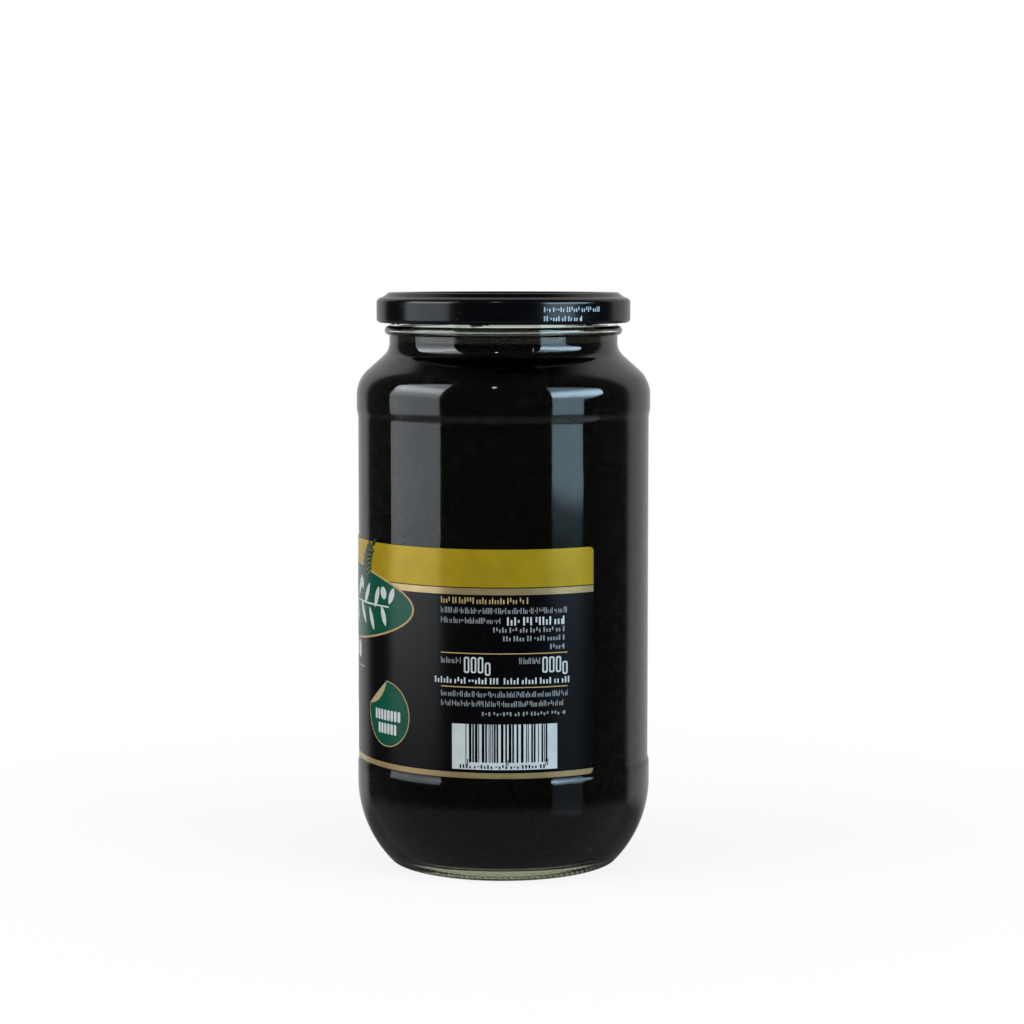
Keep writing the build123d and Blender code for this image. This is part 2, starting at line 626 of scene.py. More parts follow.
@dataclass(frozen=True)
class OliveFlesh:
    """Cut flesh inside the pitted hole, browner than the skin."""

    name: str = "olive_flesh"
    flesh: Colour = (0.11, 0.065, 0.038)
    deep: Colour = (0.035, 0.022, 0.015)

    def make(self) -> bpy.types.Material:
        """Builds the material."""
        material, bench = new_material(self.name, self.flesh)
        fibres = bench.noise(900, 2.0, (1, 1, 0.3))
        bench.surface({
            "Base Color": bench.blend(fibres.between(0.35, 0.65), self.flesh, self.deep),
            "Roughness": 0.6,
            "IOR": 1.1,
            "Specular IOR Level": 0.0,
            "Normal": bench.bump(fibres, 0.08 * MM),
        })
        return material


@dataclass(frozen=True)
class PaintedShadeCore:
    """Painted shade: a near-black surface that stands for the unlit middle of the jar."""

    name: str = "painted_shade_core"
    shade: Colour = (0.004, 0.003, 0.0025)

    def make(self) -> bpy.types.Material:
        """Builds the material."""
        material, bench = new_material(self.name, self.shade)
        cloud = bench.noise(60, 2.0)
        darker = tuple(part * 0.5 for part in self.shade)
        bench.surface({"Base Color": bench.blend(cloud, self.shade, darker), "Roughness": 0.9})
        return material


@dataclass(frozen=True)
class BlackLacquer:
    """Gloss black lacquer on pressed sheet, with orange peel and light scuffs."""

    name: str = "black_lacquer"
    shade: Colour = (0.0018, 0.0019, 0.0025)
    roughness: float = 0.17
    peel_scale: float = 700.0

    def make(self) -> bpy.types.Material:
        """Builds the material."""
        material, bench = new_material(self.name, self.shade)
        peel = bench.noise(self.peel_scale, 2.0)
        waves = bench.noise(110, 1.0, seed=0.4)
        scuffs = bench.noise(260, 6.0, (1, 1, 5), 2.2).between(0.62, 0.74)
        dust = bench.noise(1900, 2.0, seed=5.0).between(0.73, 0.80)
        marks = (scuffs * 0.5).greatest(dust)
        scuffed = tuple(part + 0.008 for part in self.shade)
        bench.surface({
            "Base Color": bench.blend(marks, self.shade, scuffed),
            "Roughness": marks * 0.2 + waves * 0.05 + (self.roughness - 0.025),
            "IOR": 1.43,
            "Normal": bench.bump(peel * 0.25 + waves * 0.75, 0.012 * MM),
        })
        return material


class Ink(Enum):
    """Colours printed on the label and the lid."""

    FIELD = ("ink_field", (0.0014, 0.0013, 0.0017))
    GOLD = ("ink_gold", (0.455, 0.30, 0.013))
    TAN = ("ink_tan", (0.47, 0.33, 0.14))
    FOIL = ("ink_foil", (0.62, 0.45, 0.22))
    GREEN = ("ink_green", (0.004, 0.075, 0.042))
    LEAF = ("ink_leaf", (0.010, 0.045, 0.022))
    WHITE = ("ink_white", (0.60, 0.62, 0.61))
    GREY = ("ink_grey", (0.28, 0.30, 0.31))
    CREAM = ("ink_cream", (0.46, 0.36, 0.19))
    JET = ("ink_jet", (0.42, 0.50, 0.56))


@dataclass(frozen=True)
class PrintedPaper:
    """Varnished paper under one ink, with a fine tooth, a slight cockle and flecks where it has rubbed."""

    ink: Ink
    metal: float = 0.0
    roughness: float = 0.21
    fleck_share: float = 0.5

    def make(self) -> bpy.types.Material:
        """Builds the material."""
        name, colour = self.ink.value
        material, bench = new_material(name, colour)
        tooth = bench.noise(2400, 3.0)
        cockle = bench.noise(55, 2.0, seed=0.9)
        flecks = bench.noise(1300, 2.0, (1, 1, 0.45), 7.3).between(0.74, 0.80)
        cloud = bench.noise(160, 3.0, seed=4.2).between(0.3, 0.7)
        darker, lighter = (tuple(part * share for part in colour) for share in (0.93, 1.05))
        shaded = bench.blend(cloud, darker, lighter)
        rubbed = tuple(min(1.0, part * 1.25 + 0.05 * self.fleck_share) for part in colour)
        bench.surface({
            "Base Color": bench.blend(flecks * self.fleck_share, shaded, rubbed),
            "Metallic": self.metal,
            "Roughness": tooth * 0.08 + (self.roughness - 0.04),
            "IOR": 1.42,
            "Normal": bench.bump(tooth * 0.04 + cockle * 0.96, 0.06 * MM),
        })
        return material


# ---------------------------------------------------------------------------------------------------------
# Glass jar
# ---------------------------------------------------------------------------------------------------------


@dataclass
class GlassJar:
    """The glass: its cavity, and its outside with guard rings, bead, threads, seams and knurled foot."""

    wall: float = 2.9
    floor_thickness: float = 4.6
    floor_rise: float = 2.6
    push_up: float = 3.6
    bearing_width: float = 1.8
    heel_radius: float = 36.0
    heel_height: float = 25.5
    heel_corner: float = 1.4
    floor_corner: float = 5.0
    lower_ring_height: float = 5.7
    lower_step: float = 2.4
    panel_recess: float = 0.45
    upper_step: float = 1.6
    upper_roll: float = 1.6
    upper_ring_height: float = 5.6
    shoulder_radius: float = 10.5
    shoulder_slope: float = 48.0
    neck_fillet: float = 5.5
    neck_length: float = 2.35
    neck_set_in: float = 4.05  # from the lid's skirt in to the neck
    bead_reach: float = 1.5
    bead_radius: float = 1.5
    bead_gap: float = 0.9
    rim_rounding: float = 1.2
    thread_count: int = 6
    thread_arc: float = 50.0
    thread_tilt: float = 9.0
    thread_rise: float = 3.2  # from the foot of the lid up to the middle of a thread
    thread_radius: float = 1.2
    thread_fade: float = 5.0  # degrees over which a thread's ends sink into the neck
    first_thread: float = -20.0
    columns: int = 348
    seam_angle: float = -76.6  # degrees from +X to the seam at the front
    seam_height: float = 0.10
    seam_on_panel: float = 0.04
    seam_width: float = 0.6  # in columns, to each side
    seam_foot: float = 3.0
    seam_on_shoulder: float = 148.0  # height over which the seam also runs inside the body's radius
    knurl_depth: float = 0.4
    knurl_columns: int = 3
    knurl_row: float = 0.45
    knurl_top: float = 2.3
    base_steps: int = 14
    floor_steps: int = 12

    def __post_init__(self) -> None:
        """Takes the overall sizes from the frame."""
        low, high = node_box("glass_jar")
        self.body_r = (high.x - low.x) / 2
        self.rim_z = high.z
        lid_low, lid_high = node_box("lid")
        self.lid_foot_z = lid_low.z
        self.neck_r = (lid_high.x - lid_low.x) / 2 - self.neck_set_in
        self.panel_r = self.body_r - self.panel_recess
        self.bead_z = self.lid_foot_z - self.bead_gap - self.bead_radius
        self.neck_z = self.bead_z - self.bead_radius - self.neck_length
        self.thread_z = self.lid_foot_z + self.thread_rise
        self.panel_foot_z = self.heel_height + self.lower_ring_height + self.lower_step
        self.level_z = node_box("contents")[1].z
        self.bearing_r = self.heel(0, self.heel_corner, 0)[0][0] - self.bearing_width

    def heel(self, set_in: float, corner: float, base_z: float, steps: int = 18) -> list[Point]:
        """Corner and heel curve from a level base up to the wall.

        Args:
            set_in: How far inside the outer surface the line runs.
            corner: Radius between the base and the heel.
            base_z: Height of the base.
            steps: Chords in the heel curve.

        Returns:
            The points.
        """
        radius = self.heel_radius - set_in
        across = math.sqrt((radius - corner) ** 2 - (self.heel_height - base_z - corner) ** 2)
        touch = -math.degrees(math.acos(across / (radius - corner)))
        axis_r = self.body_r - self.heel_radius
        side = arc((axis_r, self.heel_height), radius, touch, 0, steps)
        return arc((axis_r + across, base_z + corner), corner, -90, touch, 6) + side[1:]

    def shoulder(self, set_in: float) -> list[Point]:
        """Shoulder curve, cone and neck fillet, set in from the outer surface."""
        slope = math.radians(self.shoulder_slope)
        both = self.shoulder_radius + self.neck_fillet
        cone = (self.body_r - self.neck_r - both * (1 - math.cos(slope))) / math.sin(slope)
        foot_z = self.neck_z - both * math.sin(slope) - cone * math.cos(slope)
        centre = (self.body_r - self.shoulder_radius, foot_z)
        over = arc(centre, self.shoulder_radius - set_in, 0, self.shoulder_slope, 14)
        centre = (self.neck_r + self.neck_fillet, self.neck_z)
        return over + arc(centre, self.neck_fillet + set_in, 180 + self.shoulder_slope, 180, 10)

    def outside(self) -> list[Point]:
        """Outline of the outer surface, from the axis under the base up over the rim."""
        foot = self.heel(0, self.heel_corner, 0, 40)
        over = self.shoulder(0)
        ring_z = over[0][1] - self.upper_ring_height
        ring_foot = (self.panel_r, ring_z - self.upper_step)
        panel_foot = (self.panel_r, self.panel_foot_z)
        bead_r = self.neck_r + self.bead_reach - self.bead_radius
        bead = arc((bead_r, self.bead_z), self.bead_radius, -90, 90, 14)
        finish_foot = (self.neck_r, self.bead_z + self.bead_radius)
        rim_centre = (self.neck_r - self.rim_rounding, self.rim_z - self.rim_rounding)
        rim = arc(rim_centre, self.rim_rounding, 0, 90, 6)
        return [
            *dome(self.bearing_r, 0, self.push_up, self.base_steps),
            *run((self.bearing_r, 0), foot[0], 4)[1:-1],
            *foot,
            *ease((self.body_r, self.panel_foot_z - self.lower_step), panel_foot, 8),
            *ease(ring_foot, (self.body_r, ring_z + self.upper_roll), 12),
            *over,
            *run((self.neck_r, self.neck_z), bead[0], 6)[1:-1],
            *bead,
            *run(finish_foot, rim[0], 30)[1:],
            *rim[1:],
        ]

    def cavity(self, reach: float = 0.0) -> list[Point]:
        """Outline of the cavity, from the axis on the floor up to the neck.

        Args:
            reach: How far into the wall the outline is pushed.

        Returns:
            The points, with height rising all the way up the wall.
        """
        set_in, floor_z = self.wall - reach, self.floor_thickness - reach
        side = self.heel(set_in, self.floor_corner + reach, floor_z)
        floor = dome(side[0][0], floor_z, self.floor_rise, self.floor_steps)
        return [*floor, *side[1:], *self.shoulder(set_in)]

    def outline(self) -> list[Point]:
        """The whole closed outline of the glass."""
        lip_centre = (self.neck_r - self.wall + self.rim_rounding, self.rim_z - self.rim_rounding)
        lip = arc(lip_centre, self.rim_rounding, 90, 180, 6)
        return brace([*self.outside(), *lip, *reversed(self.cavity())])

    def _relief(self, places: np.ndarray) -> np.ndarray:
        """Raises the threads and seams, and cuts the knurl, on the spun glass."""
        x, y, z = places.T
        r = np.hypot(x, y)
        angle = np.degrees(np.arctan2(y, x))
        pitch = 360 / self.columns
        outer = r > self.neck_r - 0.4
        gain = np.zeros(len(r))
        slope = math.sin(math.radians(self.thread_tilt))
        finish = outer & (r < self.neck_r + 0.3) & (z > self.bead_z + self.bead_radius - 0.1)
        for i in range(self.thread_count):
            off = (angle - self.first_thread - i * 360 / self.thread_count + 180) % 360 - 180
            ends = np.clip((self.thread_arc / 2 - np.abs(off)) / self.thread_fade, 0, 1)
            gap = np.abs(z - self.thread_z - r * np.sin(np.radians(off)) * slope)
            crown = np.sqrt(np.clip(1 - (gap / self.thread_radius) ** 2, 0, 1))
            gain += np.where(finish, self.thread_radius * crown * np.sqrt(ends * (2 - ends)), 0)
        on_panel = (r < self.panel_r + 0.01) & (r >= self.panel_r - 0.5)
        height = np.where(on_panel, self.seam_on_panel, self.seam_height)
        skin = (r > self.body_r - self.wall + 0.3) | (z < self.heel_height) | (z > self.seam_on_shoulder)
        skin &= outer & (z > self.seam_foot) & (z < self.lid_foot_z - self.bead_gap)
        for turn in (0, 180):
            off = np.abs((angle - self.seam_angle - turn + 180) % 360 - 180)
            gain += np.where(skin & (off < self.seam_width * pitch), height, 0)
        foot = (z < self.knurl_top) & (r > self.bearing_r)
        row = np.round(r / self.knurl_row).astype(int)
        groove = foot & ((np.round(angle / pitch).astype(int) + row) % self.knurl_columns == 0)
        gain -= np.where(groove & (z > 0.05), self.knurl_depth / 2, 0)
        scale = (r + gain) / np.maximum(r, 1e-6)
        return np.column_stack((x * scale, y * scale, z + np.where(groove, self.knurl_depth, 0)))

    def build(self) -> Piece:
        """Builds and dresses the glass.

        Returns:
            The glass piece.
        """
        glass = spin_outline("glass_wall", self.outline(), self.columns)
        move_points(glass, self._relief)
        smooth(glass, 55)
        glass.data.materials.append(ClearGlass().make())
        glass.data.materials.append(ClearGlass(name="wetted_glass", mirror=0.08).make())
        # Painted shade: the knurl's grooves get near-black glass, which stands in for the shade in them.
        glass.data.materials.append(ClearGlass(name="knurl_groove_painted_shade", tint=(0.012, 0.014, 0.011)).make())
        wall_r, wall_z = np.array(self.cavity()[self.floor_steps:]).T
        floor_top = self.floor_thickness + self.floor_rise + 0.2
        for face in glass.data.polygons:
            r, z = face.center.xy.length / MM, face.center.z / MM
            on_floor = self.push_up + 0.5 < z < floor_top and r < wall_r[0] + 0.3
            wetted = z < self.level_z and (abs(r - np.interp(z, wall_z, wall_r)) < 0.25 or on_floor)
            angle = math.degrees(math.atan2(face.center.y, face.center.x))
            column = math.floor(angle * self.columns / 360)
            tick = (column + round(r / self.knurl_row)) % self.knurl_columns == 0
            # Faces in the knurl's grooves take the near-black glass that paints shade into them.
            knurled = z < self.knurl_top and r > self.bearing_r and tick
            face.material_index = 1 if wetted else 2 if knurled else 0
        return settle_in(glass, "glass", "glass_jar")


# ---------------------------------------------------------------------------------------------------------
# Contents
# ---------------------------------------------------------------------------------------------------------


@dataclass
class Brine:
    """The brine up to its level, which reaches just into the wall and climbs a little where it meets it."""

    jar: GlassJar
    wall_reach: float = 0.15
    climb: float = 0.9
    climb_width: float = 2.6
    columns: int = 256

    def outline(self) -> list[Point]:
        """Outline of the brine, from the axis at the floor to the axis at the level."""
        side = self.jar.cavity(self.wall_reach)
        edge_r = side[-1][0]
        level = self.jar.level_z - self.climb
        rise = [
            (edge_r - self.climb_width * t, level + self.climb * (1 - t) ** 3)
            for t in (i / 8 for i in range(9))
        ]
        return [*side, *rise, (edge_r * 0.5, level), (0, level)]

    def build(self) -> Piece:
        """Builds and dresses the brine."""
        brine = spin_outline("brine", self.outline(), self.columns)
        smooth(brine, 60)
        brine.data.materials.append(DarkBrine().make())
        return settle_in(brine, "olives_in_brine", "contents")


@dataclass
class Core:
    """The smaller, uneven core inside the outer layer of olives, whose near-black colour is painted shade."""

    jar: GlassJar
    inset: float = 12.5
    relief: float = 3.0
    spacing: float = 3.0
    columns: int = 96

    def outline(self) -> list[Point]:
        """Outline of the core, from the axis at its foot to the axis at its top."""
        r = self.jar.body_r - self.jar.wall - self.inset
        foot = self.jar.floor_thickness + self.jar.floor_rise + 2.0
        top = self.jar.level_z - self.inset - 1.0
        corners = [(0, foot), (r - 8, foot), (r, foot + 14), (r, top - 22), (r - 10, top), (0, top)]
        line = rounded(corners, [5, 8, 6, 4], 6)
        dense: list[Point] = []
        for start, end in zip(line, line[1:]):
            dense.extend(run(start, end, max(1, round(math.dist(start, end) / self.spacing)))[:-1])
        return [*dense, line[-1]]

    def build(self) -> Piece:
        """Builds and dresses the core."""
        core = spin_outline("dark_core", self.outline(), self.columns)
        clouds = bpy.data.textures.new("core_relief", "CLOUDS")
        clouds.noise_scale = 12 * MM
        apply_modifier(
            core, "DISPLACE", texture=clouds, strength=self.relief * MM, mid_level=0.5, texture_coords="LOCAL"
        )
        smooth(core, 80)
        # The core's near-black finish is painted shade for the unlit middle of the jar.
        core.data.materials.append(PaintedShadeCore().make())
        return settle_in(core, "olives_in_brine")


@dataclass
class OliveHeap:
    """Pitted olives packed against the wall and under the brine's surface."""

    jar: GlassJar
    radius: float = 7.7
    half_length: float = 10.4
    hole_radius: float = 2.7
    hole_depth: float = 12.0
    scar_radius: float = 1.5
    scar_depth: float = 1.4
    lip: float = 0.25
    variants: int = 4
    ring_count: int = 10
    per_ring: int = 12
    top_count: int = 9
    wall_gap: float = 1.2
    cover: float = 13.0  # brine over the topmost olives
    foot_gap: float = 9.0  # from the floor to the middle of the lowest ring
    top_gap: float = 9.4  # from the cover down to the middle of the highest ring
    top_r: float = 19.0
    top_turn: float = 2.4  # radians from one olive of the top layer to the next
    rounds: int = 260
    seed: int = 41
    spheres: tuple[float, ...] = (-0.34, 0.0, 0.34)
    sphere_spread: float = 0.82
    end_share: float = 0.84  # size of the two end spheres
    push_share: float = 0.42
    floor_gap: float = 2.0
    core_gap: float = 1.5
    core_push: float = 6.0
    drift: float = 0.03  # steady push outward

    def model(self, index: int) -> Piece:
        """Models one olive, upright at the origin, with its pitted hole on top.

        Args:
            index: Number of the variant, which sets its size, taper and dents.

        Returns:
            The olive.
        """
        rng = random.Random(self.seed + index)
        bpy.ops.mesh.primitive_uv_sphere_add(segments=24, ring_count=16, radius=self.radius * MM)
        olive = bpy.context.object
        olive.name = f"olive_{index}"
        stretch = self.half_length / self.radius * rng.uniform(0.94, 1.06)
        with Editing(olive) as edit:
            bpy.ops.transform.resize(value=(1, 1, stretch))
            ends = ((1, self.hole_radius, self.hole_depth), (-1, self.scar_radius, self.scar_depth))
            for side, mouth, depth in ends:
                edit.select_faces(lambda at: at.z * side > 0 and at.xy.length < mouth * MM)
                bpy.ops.mesh.dissolve_faces()
                bpy.ops.mesh.inset(thickness=self.lip * MM)
                for share in (0.06, 0.3, 1.0):
                    move = {"value": (0, 0, -side * depth * share * MM)}
                    bpy.ops.mesh.extrude_region_move(TRANSFORM_OT_translate=move)
                    bpy.ops.transform.resize(value=(0.93, 0.93, 1))
        taper = rng.uniform(-0.16, 0.12)
        apply_modifier(olive, "SIMPLE_DEFORM", deform_method="TAPER", deform_axis="Z", factor=taper)
        dents = bpy.data.textures.new(f"olive_dents_{index}", "CLOUDS")
        dents.noise_scale = rng.uniform(5, 8) * MM
        relief = {"strength": rng.uniform(0.5, 0.9) * MM, "mid_level": 0.5, "texture_coords": "LOCAL"}
        apply_modifier(olive, "DISPLACE", texture=dents, **relief)
        olive.data.materials.append(None)
        olive.data.materials.append(None)
        for face in olive.data.polygons:
            hollow = face.center.xy.length < (self.hole_radius + 0.2) * MM
            face.material_index = int(hollow and face.normal.dot(face.center) < 0.3 * face.center.length)
        smooth(olive, 50)
        return olive

    def _start(self, rng: np.random.Generator) -> tuple[np.ndarray, np.ndarray, np.ndarray]:
        """First places, directions and sizes of the olives, in rings against the wall and a layer on top."""
        places: list[tuple[float, float, float]] = []
        foot = self.jar.floor_thickness + self.foot_gap
        top = self.jar.level_z - self.cover - self.top_gap
        inner_r = self.jar.body_r - self.jar.wall - self.radius
        for ring in range(self.ring_count):
            z = foot + (top - foot) * ring / (self.ring_count - 1)
            count = self.per_ring - (ring == self.ring_count - 1) * 2
            for i in range(count):
                turn = math.tau * (i + 0.5 * (ring % 2) + rng.uniform(-0.12, 0.12)) / count
                places.append((inner_r * math.cos(turn), inner_r * math.sin(turn), z + rng.uniform(-2, 2)))
        for i in range(self.top_count):
            turn, r = i * self.top_turn, self.top_r * math.sqrt((i + 0.5) / self.top_count)
            places.append((r * math.cos(turn), r * math.sin(turn), top - 1))
        centres = np.array(places)
        axes = rng.normal(size=centres.shape)
        axes /= np.linalg.norm(axes, axis=1)[:, None]
        return centres, axes, rng.uniform(0.90, 1.05, len(centres))

    def settle(self) -> tuple[np.ndarray, np.ndarray, np.ndarray]:
        """Pushes the olives apart and against the wall until they no longer overlap.

        Returns:
            Their centres, directions and sizes.
        """
        rng = np.random.default_rng(self.seed)
        centres, axes, sizes = self._start(rng)
        wall_r, wall_z = np.array(self.jar.cavity()[self.jar.floor_steps:]).T
        offs = np.array(self.spheres) * 2 * self.half_length * self.sphere_spread
        end_r = self.radius * self.end_share
        radii = np.outer(sizes, [end_r, self.radius, end_r]).ravel()
        owner = np.repeat(np.arange(len(centres)), len(offs))
        reach = radii[:, None] + radii[None, :]
        apart = owner[:, None] != owner[None, :]
        core_r = self.jar.body_r - self.jar.wall - 2 * self.radius - self.core_gap
        ringed = np.repeat(np.arange(len(centres)) < len(centres) - self.top_count, len(offs))
        floor = self.jar.floor_thickness + self.floor_gap + radii
        ceiling = self.jar.level_z - self.cover - radii
        for _ in range(self.rounds):
            arms = axes[:, None, :] * (sizes[:, None] * offs[None, :])[:, :, None]
            balls = (centres[:, None, :] + arms).reshape(-1, 3)
            gap = balls[:, None, :] - balls[None, :, :]
            distance = np.linalg.norm(gap, axis=2) + 1e-9
            push = np.where(apart, np.clip(reach - distance, 0, None), 0)
            force = (gap / distance[:, :, None] * push[:, :, None]).sum(axis=1) * self.push_share
            r = np.hypot(balls[:, 0], balls[:, 1])
            limit = np.interp(balls[:, 2], wall_z, wall_r) - radii - self.wall_gap
            outward = balls[:, :2] / np.maximum(r, 1e-6)[:, None]
            force[:, :2] -= outward * np.clip(r - limit, 0, None)[:, None]
            off_core = np.where(ringed, np.clip(core_r + self.core_push - r, 0, 1.0), 0)
            force[:, :2] += outward * (off_core + self.drift)[:, None]
            force[:, 2] += np.clip(floor - balls[:, 2], 0, None)
            force[:, 2] -= np.clip(balls[:, 2] - ceiling, 0, None)
            force = force.reshape(len(centres), len(offs), 3)
            centres = centres + force.mean(axis=1)
            lever = np.einsum("nij,i->nj", force, offs / np.abs(offs).max()) / self.half_length
            axes = axes + lever - axes * (lever * axes).sum(axis=1)[:, None]
            axes /= np.linalg.norm(axes, axis=1)[:, None]
        log.info("olives: %d settled, deepest overlap %.2f mm", len(centres), push.max())
        return centres, axes, sizes

    def build(self) -> Piece:
        """Builds and dresses the olives.

        Returns:
            One piece that holds them all.
        """
        models = [self.model(i) for i in range(self.variants)]
        rng = random.Random(self.seed)
        copies: list[Piece] = []
        for i, (centre, axis, size) in enumerate(zip(*self.settle())):
            spin = Quaternion((0, 0, 1), rng.uniform(0, math.tau))
            turn = (Vector((0, 0, 1)).rotation_difference(Vector(axis)) @ spin).to_matrix().to_4x4()
            matrix = Matrix.Translation(Vector(centre) * MM) @ turn @ Matrix.Scale(size, 4)
            copies.append(copy_of(models[i % self.variants], matrix))
        for model in models:
            bpy.data.objects.remove(model)
        olives = join("pitted_olives", copies)
        olives.data.materials.clear()
        olives.data.materials.append(OliveSkin().make())
        olives.data.materials.append(OliveFlesh().make())
        return settle_in(olives, "olives_in_brine")


# ---------------------------------------------------------------------------------------------------------
# Lid
# ---------------------------------------------------------------------------------------------------------


@dataclass
class TwistLid:
    """Pressed lid with a sunk panel, a safety button, a rolled curl and six lugs."""

    jar: GlassJar
    sheet: float = 0.4
    crest: float = 3.0
    crest_rounding: float = 0.6
    panel_depth: float = 1.3
    panel_slope: float = 1.5
    riser_width: float = 1.6
    riser_drop: float = 1.25
    shoulder_drop: float = 0.85
    shoulder_rounding: float = 1.3
    button_r: float = 13.0
    button_height: float = 0.45
    button_slope: float = 1.4
    curl_radius: float = 1.3
    lug_arc: float = 13.0
    lug_bite: float = 0.8
    lug_lead: float = 8.0
    lug_fade: float = 2.0  # degrees over which a lug's sides rise
    lug_root: float = 0.6  # how far round the curl, inward, a lug starts
    columns: int = 288

    def __post_init__(self) -> None:
        """Takes the overall sizes from the frame."""
        low, high = node_box("lid")
        self.radius = (high.x - low.x) / 2
        self.top_z = high.z
        self.curl_z = low.z + self.curl_radius

    def midline(self) -> list[Point]:
        """Middle of the sheet, from the button out to the foot of the skirt."""
        crest_z = self.top_z - self.sheet / 2
        panel_z = crest_z - self.panel_depth
        crest_out = self.jar.neck_r - self.jar.wall / 2 + self.crest / 2
        crest_in = crest_out - self.crest
        riser = (crest_out + self.riser_width, crest_z - self.riser_drop)
        skirt_r = self.radius - self.sheet / 2
        corners = [
            (0, panel_z + self.button_height),
            (self.button_r, panel_z + self.button_height),
            (self.button_r + self.button_slope, panel_z),
            (crest_in - self.panel_slope, panel_z),
            (crest_in, crest_z),
            (crest_out, crest_z),
            riser,
            (skirt_r, riser[1] - self.shoulder_drop),
            (skirt_r, self.curl_z),
        ]
        return brace(rounded(corners, [self.crest_rounding] * 6 + [self.shoulder_rounding], 7), 0.3, 1.5)

    def outline(self) -> list[Point]:
        """Closed outline of the sheet and its curl."""
        line = self.midline()
        upper, under = set_off(line, self.sheet / 2), set_off(line, -self.sheet / 2)
        centre = (self.radius - self.curl_radius, self.curl_z)
        meet = math.degrees(math.acos(1 - self.sheet / self.curl_radius))
        curl = arc(centre, self.curl_radius, 0, meet - 360, 26)
        upper[0], under[0] = (0, upper[0][1]), (0, under[0][1])
        return [*upper[:-1], *curl, *reversed(under[:-1])]

    def _lugs(self, places: np.ndarray) -> np.ndarray:
        """Presses the lugs inward out of the curl."""
        x, y, z = places.T
        r = np.hypot(x, y)
        angle = np.degrees(np.arctan2(y, x))
        inward = np.clip((self.radius - self.curl_radius - r) / self.curl_radius, 0, 1)
        curl = (z < self.curl_z + self.curl_radius) & (inward > self.lug_root)
        bite = np.zeros(len(r))
        for i in range(self.jar.thread_count):
            middle = self.jar.first_thread + self.lug_lead + i * 360 / self.jar.thread_count
            off = np.abs((angle - middle + 180) % 360 - 180)
            bite += np.clip((self.lug_arc / 2 - off) / self.lug_fade, 0, 1)
        share = (inward - self.lug_root) / (1 - self.lug_root)
        scale = (r - np.where(curl, bite * self.lug_bite * share, 0)) / np.maximum(r, 1e-6)
        return np.column_stack((x * scale, y * scale, z))

    def build(self) -> Piece:
        """Builds and dresses the lid."""
        lid = spin_outline("twist_lid", self.outline(), self.columns)
        move_points(lid, self._lugs)
        smooth(lid, 50)
        lid.data.materials.append(BlackLacquer().make())
        return settle_in(lid, "lid", "lid")


# ---------------------------------------------------------------------------------------------------------
# Label and print
# ---------------------------------------------------------------------------------------------------------


def wrap_round(piece: Piece, radius: float, chord: float) -> None:
    """Bends a flat sheet, drawn facing the front, round the Z axis.

    Args:
        piece: The sheet, with its arc lengths along X from the front and its heights along Z, in metres.
        radius: Radius that keeps its lengths, in millimetres.
        chord: Widest strip that stays flat, in millimetres.
    """
    xs = [vertex.co.x for vertex in piece.data.vertices]
    first, last = math.ceil(min(xs) / (chord * MM)), math.floor(max(xs) / (chord * MM))
    with Editing(piece):
        for i in range(first, last + 1):
            bpy.ops.mesh.select_all(action="SELECT")
            bpy.ops.mesh.bisect(plane_co=((i + 0.013) * chord * MM, 0, 0), plane_no=(1, 0, 0), threshold=1e-7)
    angle = (max(xs) - min(xs)) / (radius * MM)
    apply_modifier(piece, "SIMPLE_DEFORM", deform_method="BEND", deform_axis="Z", angle=angle)
    piece.location.y = -radius * MM
    place_in_mesh(piece)


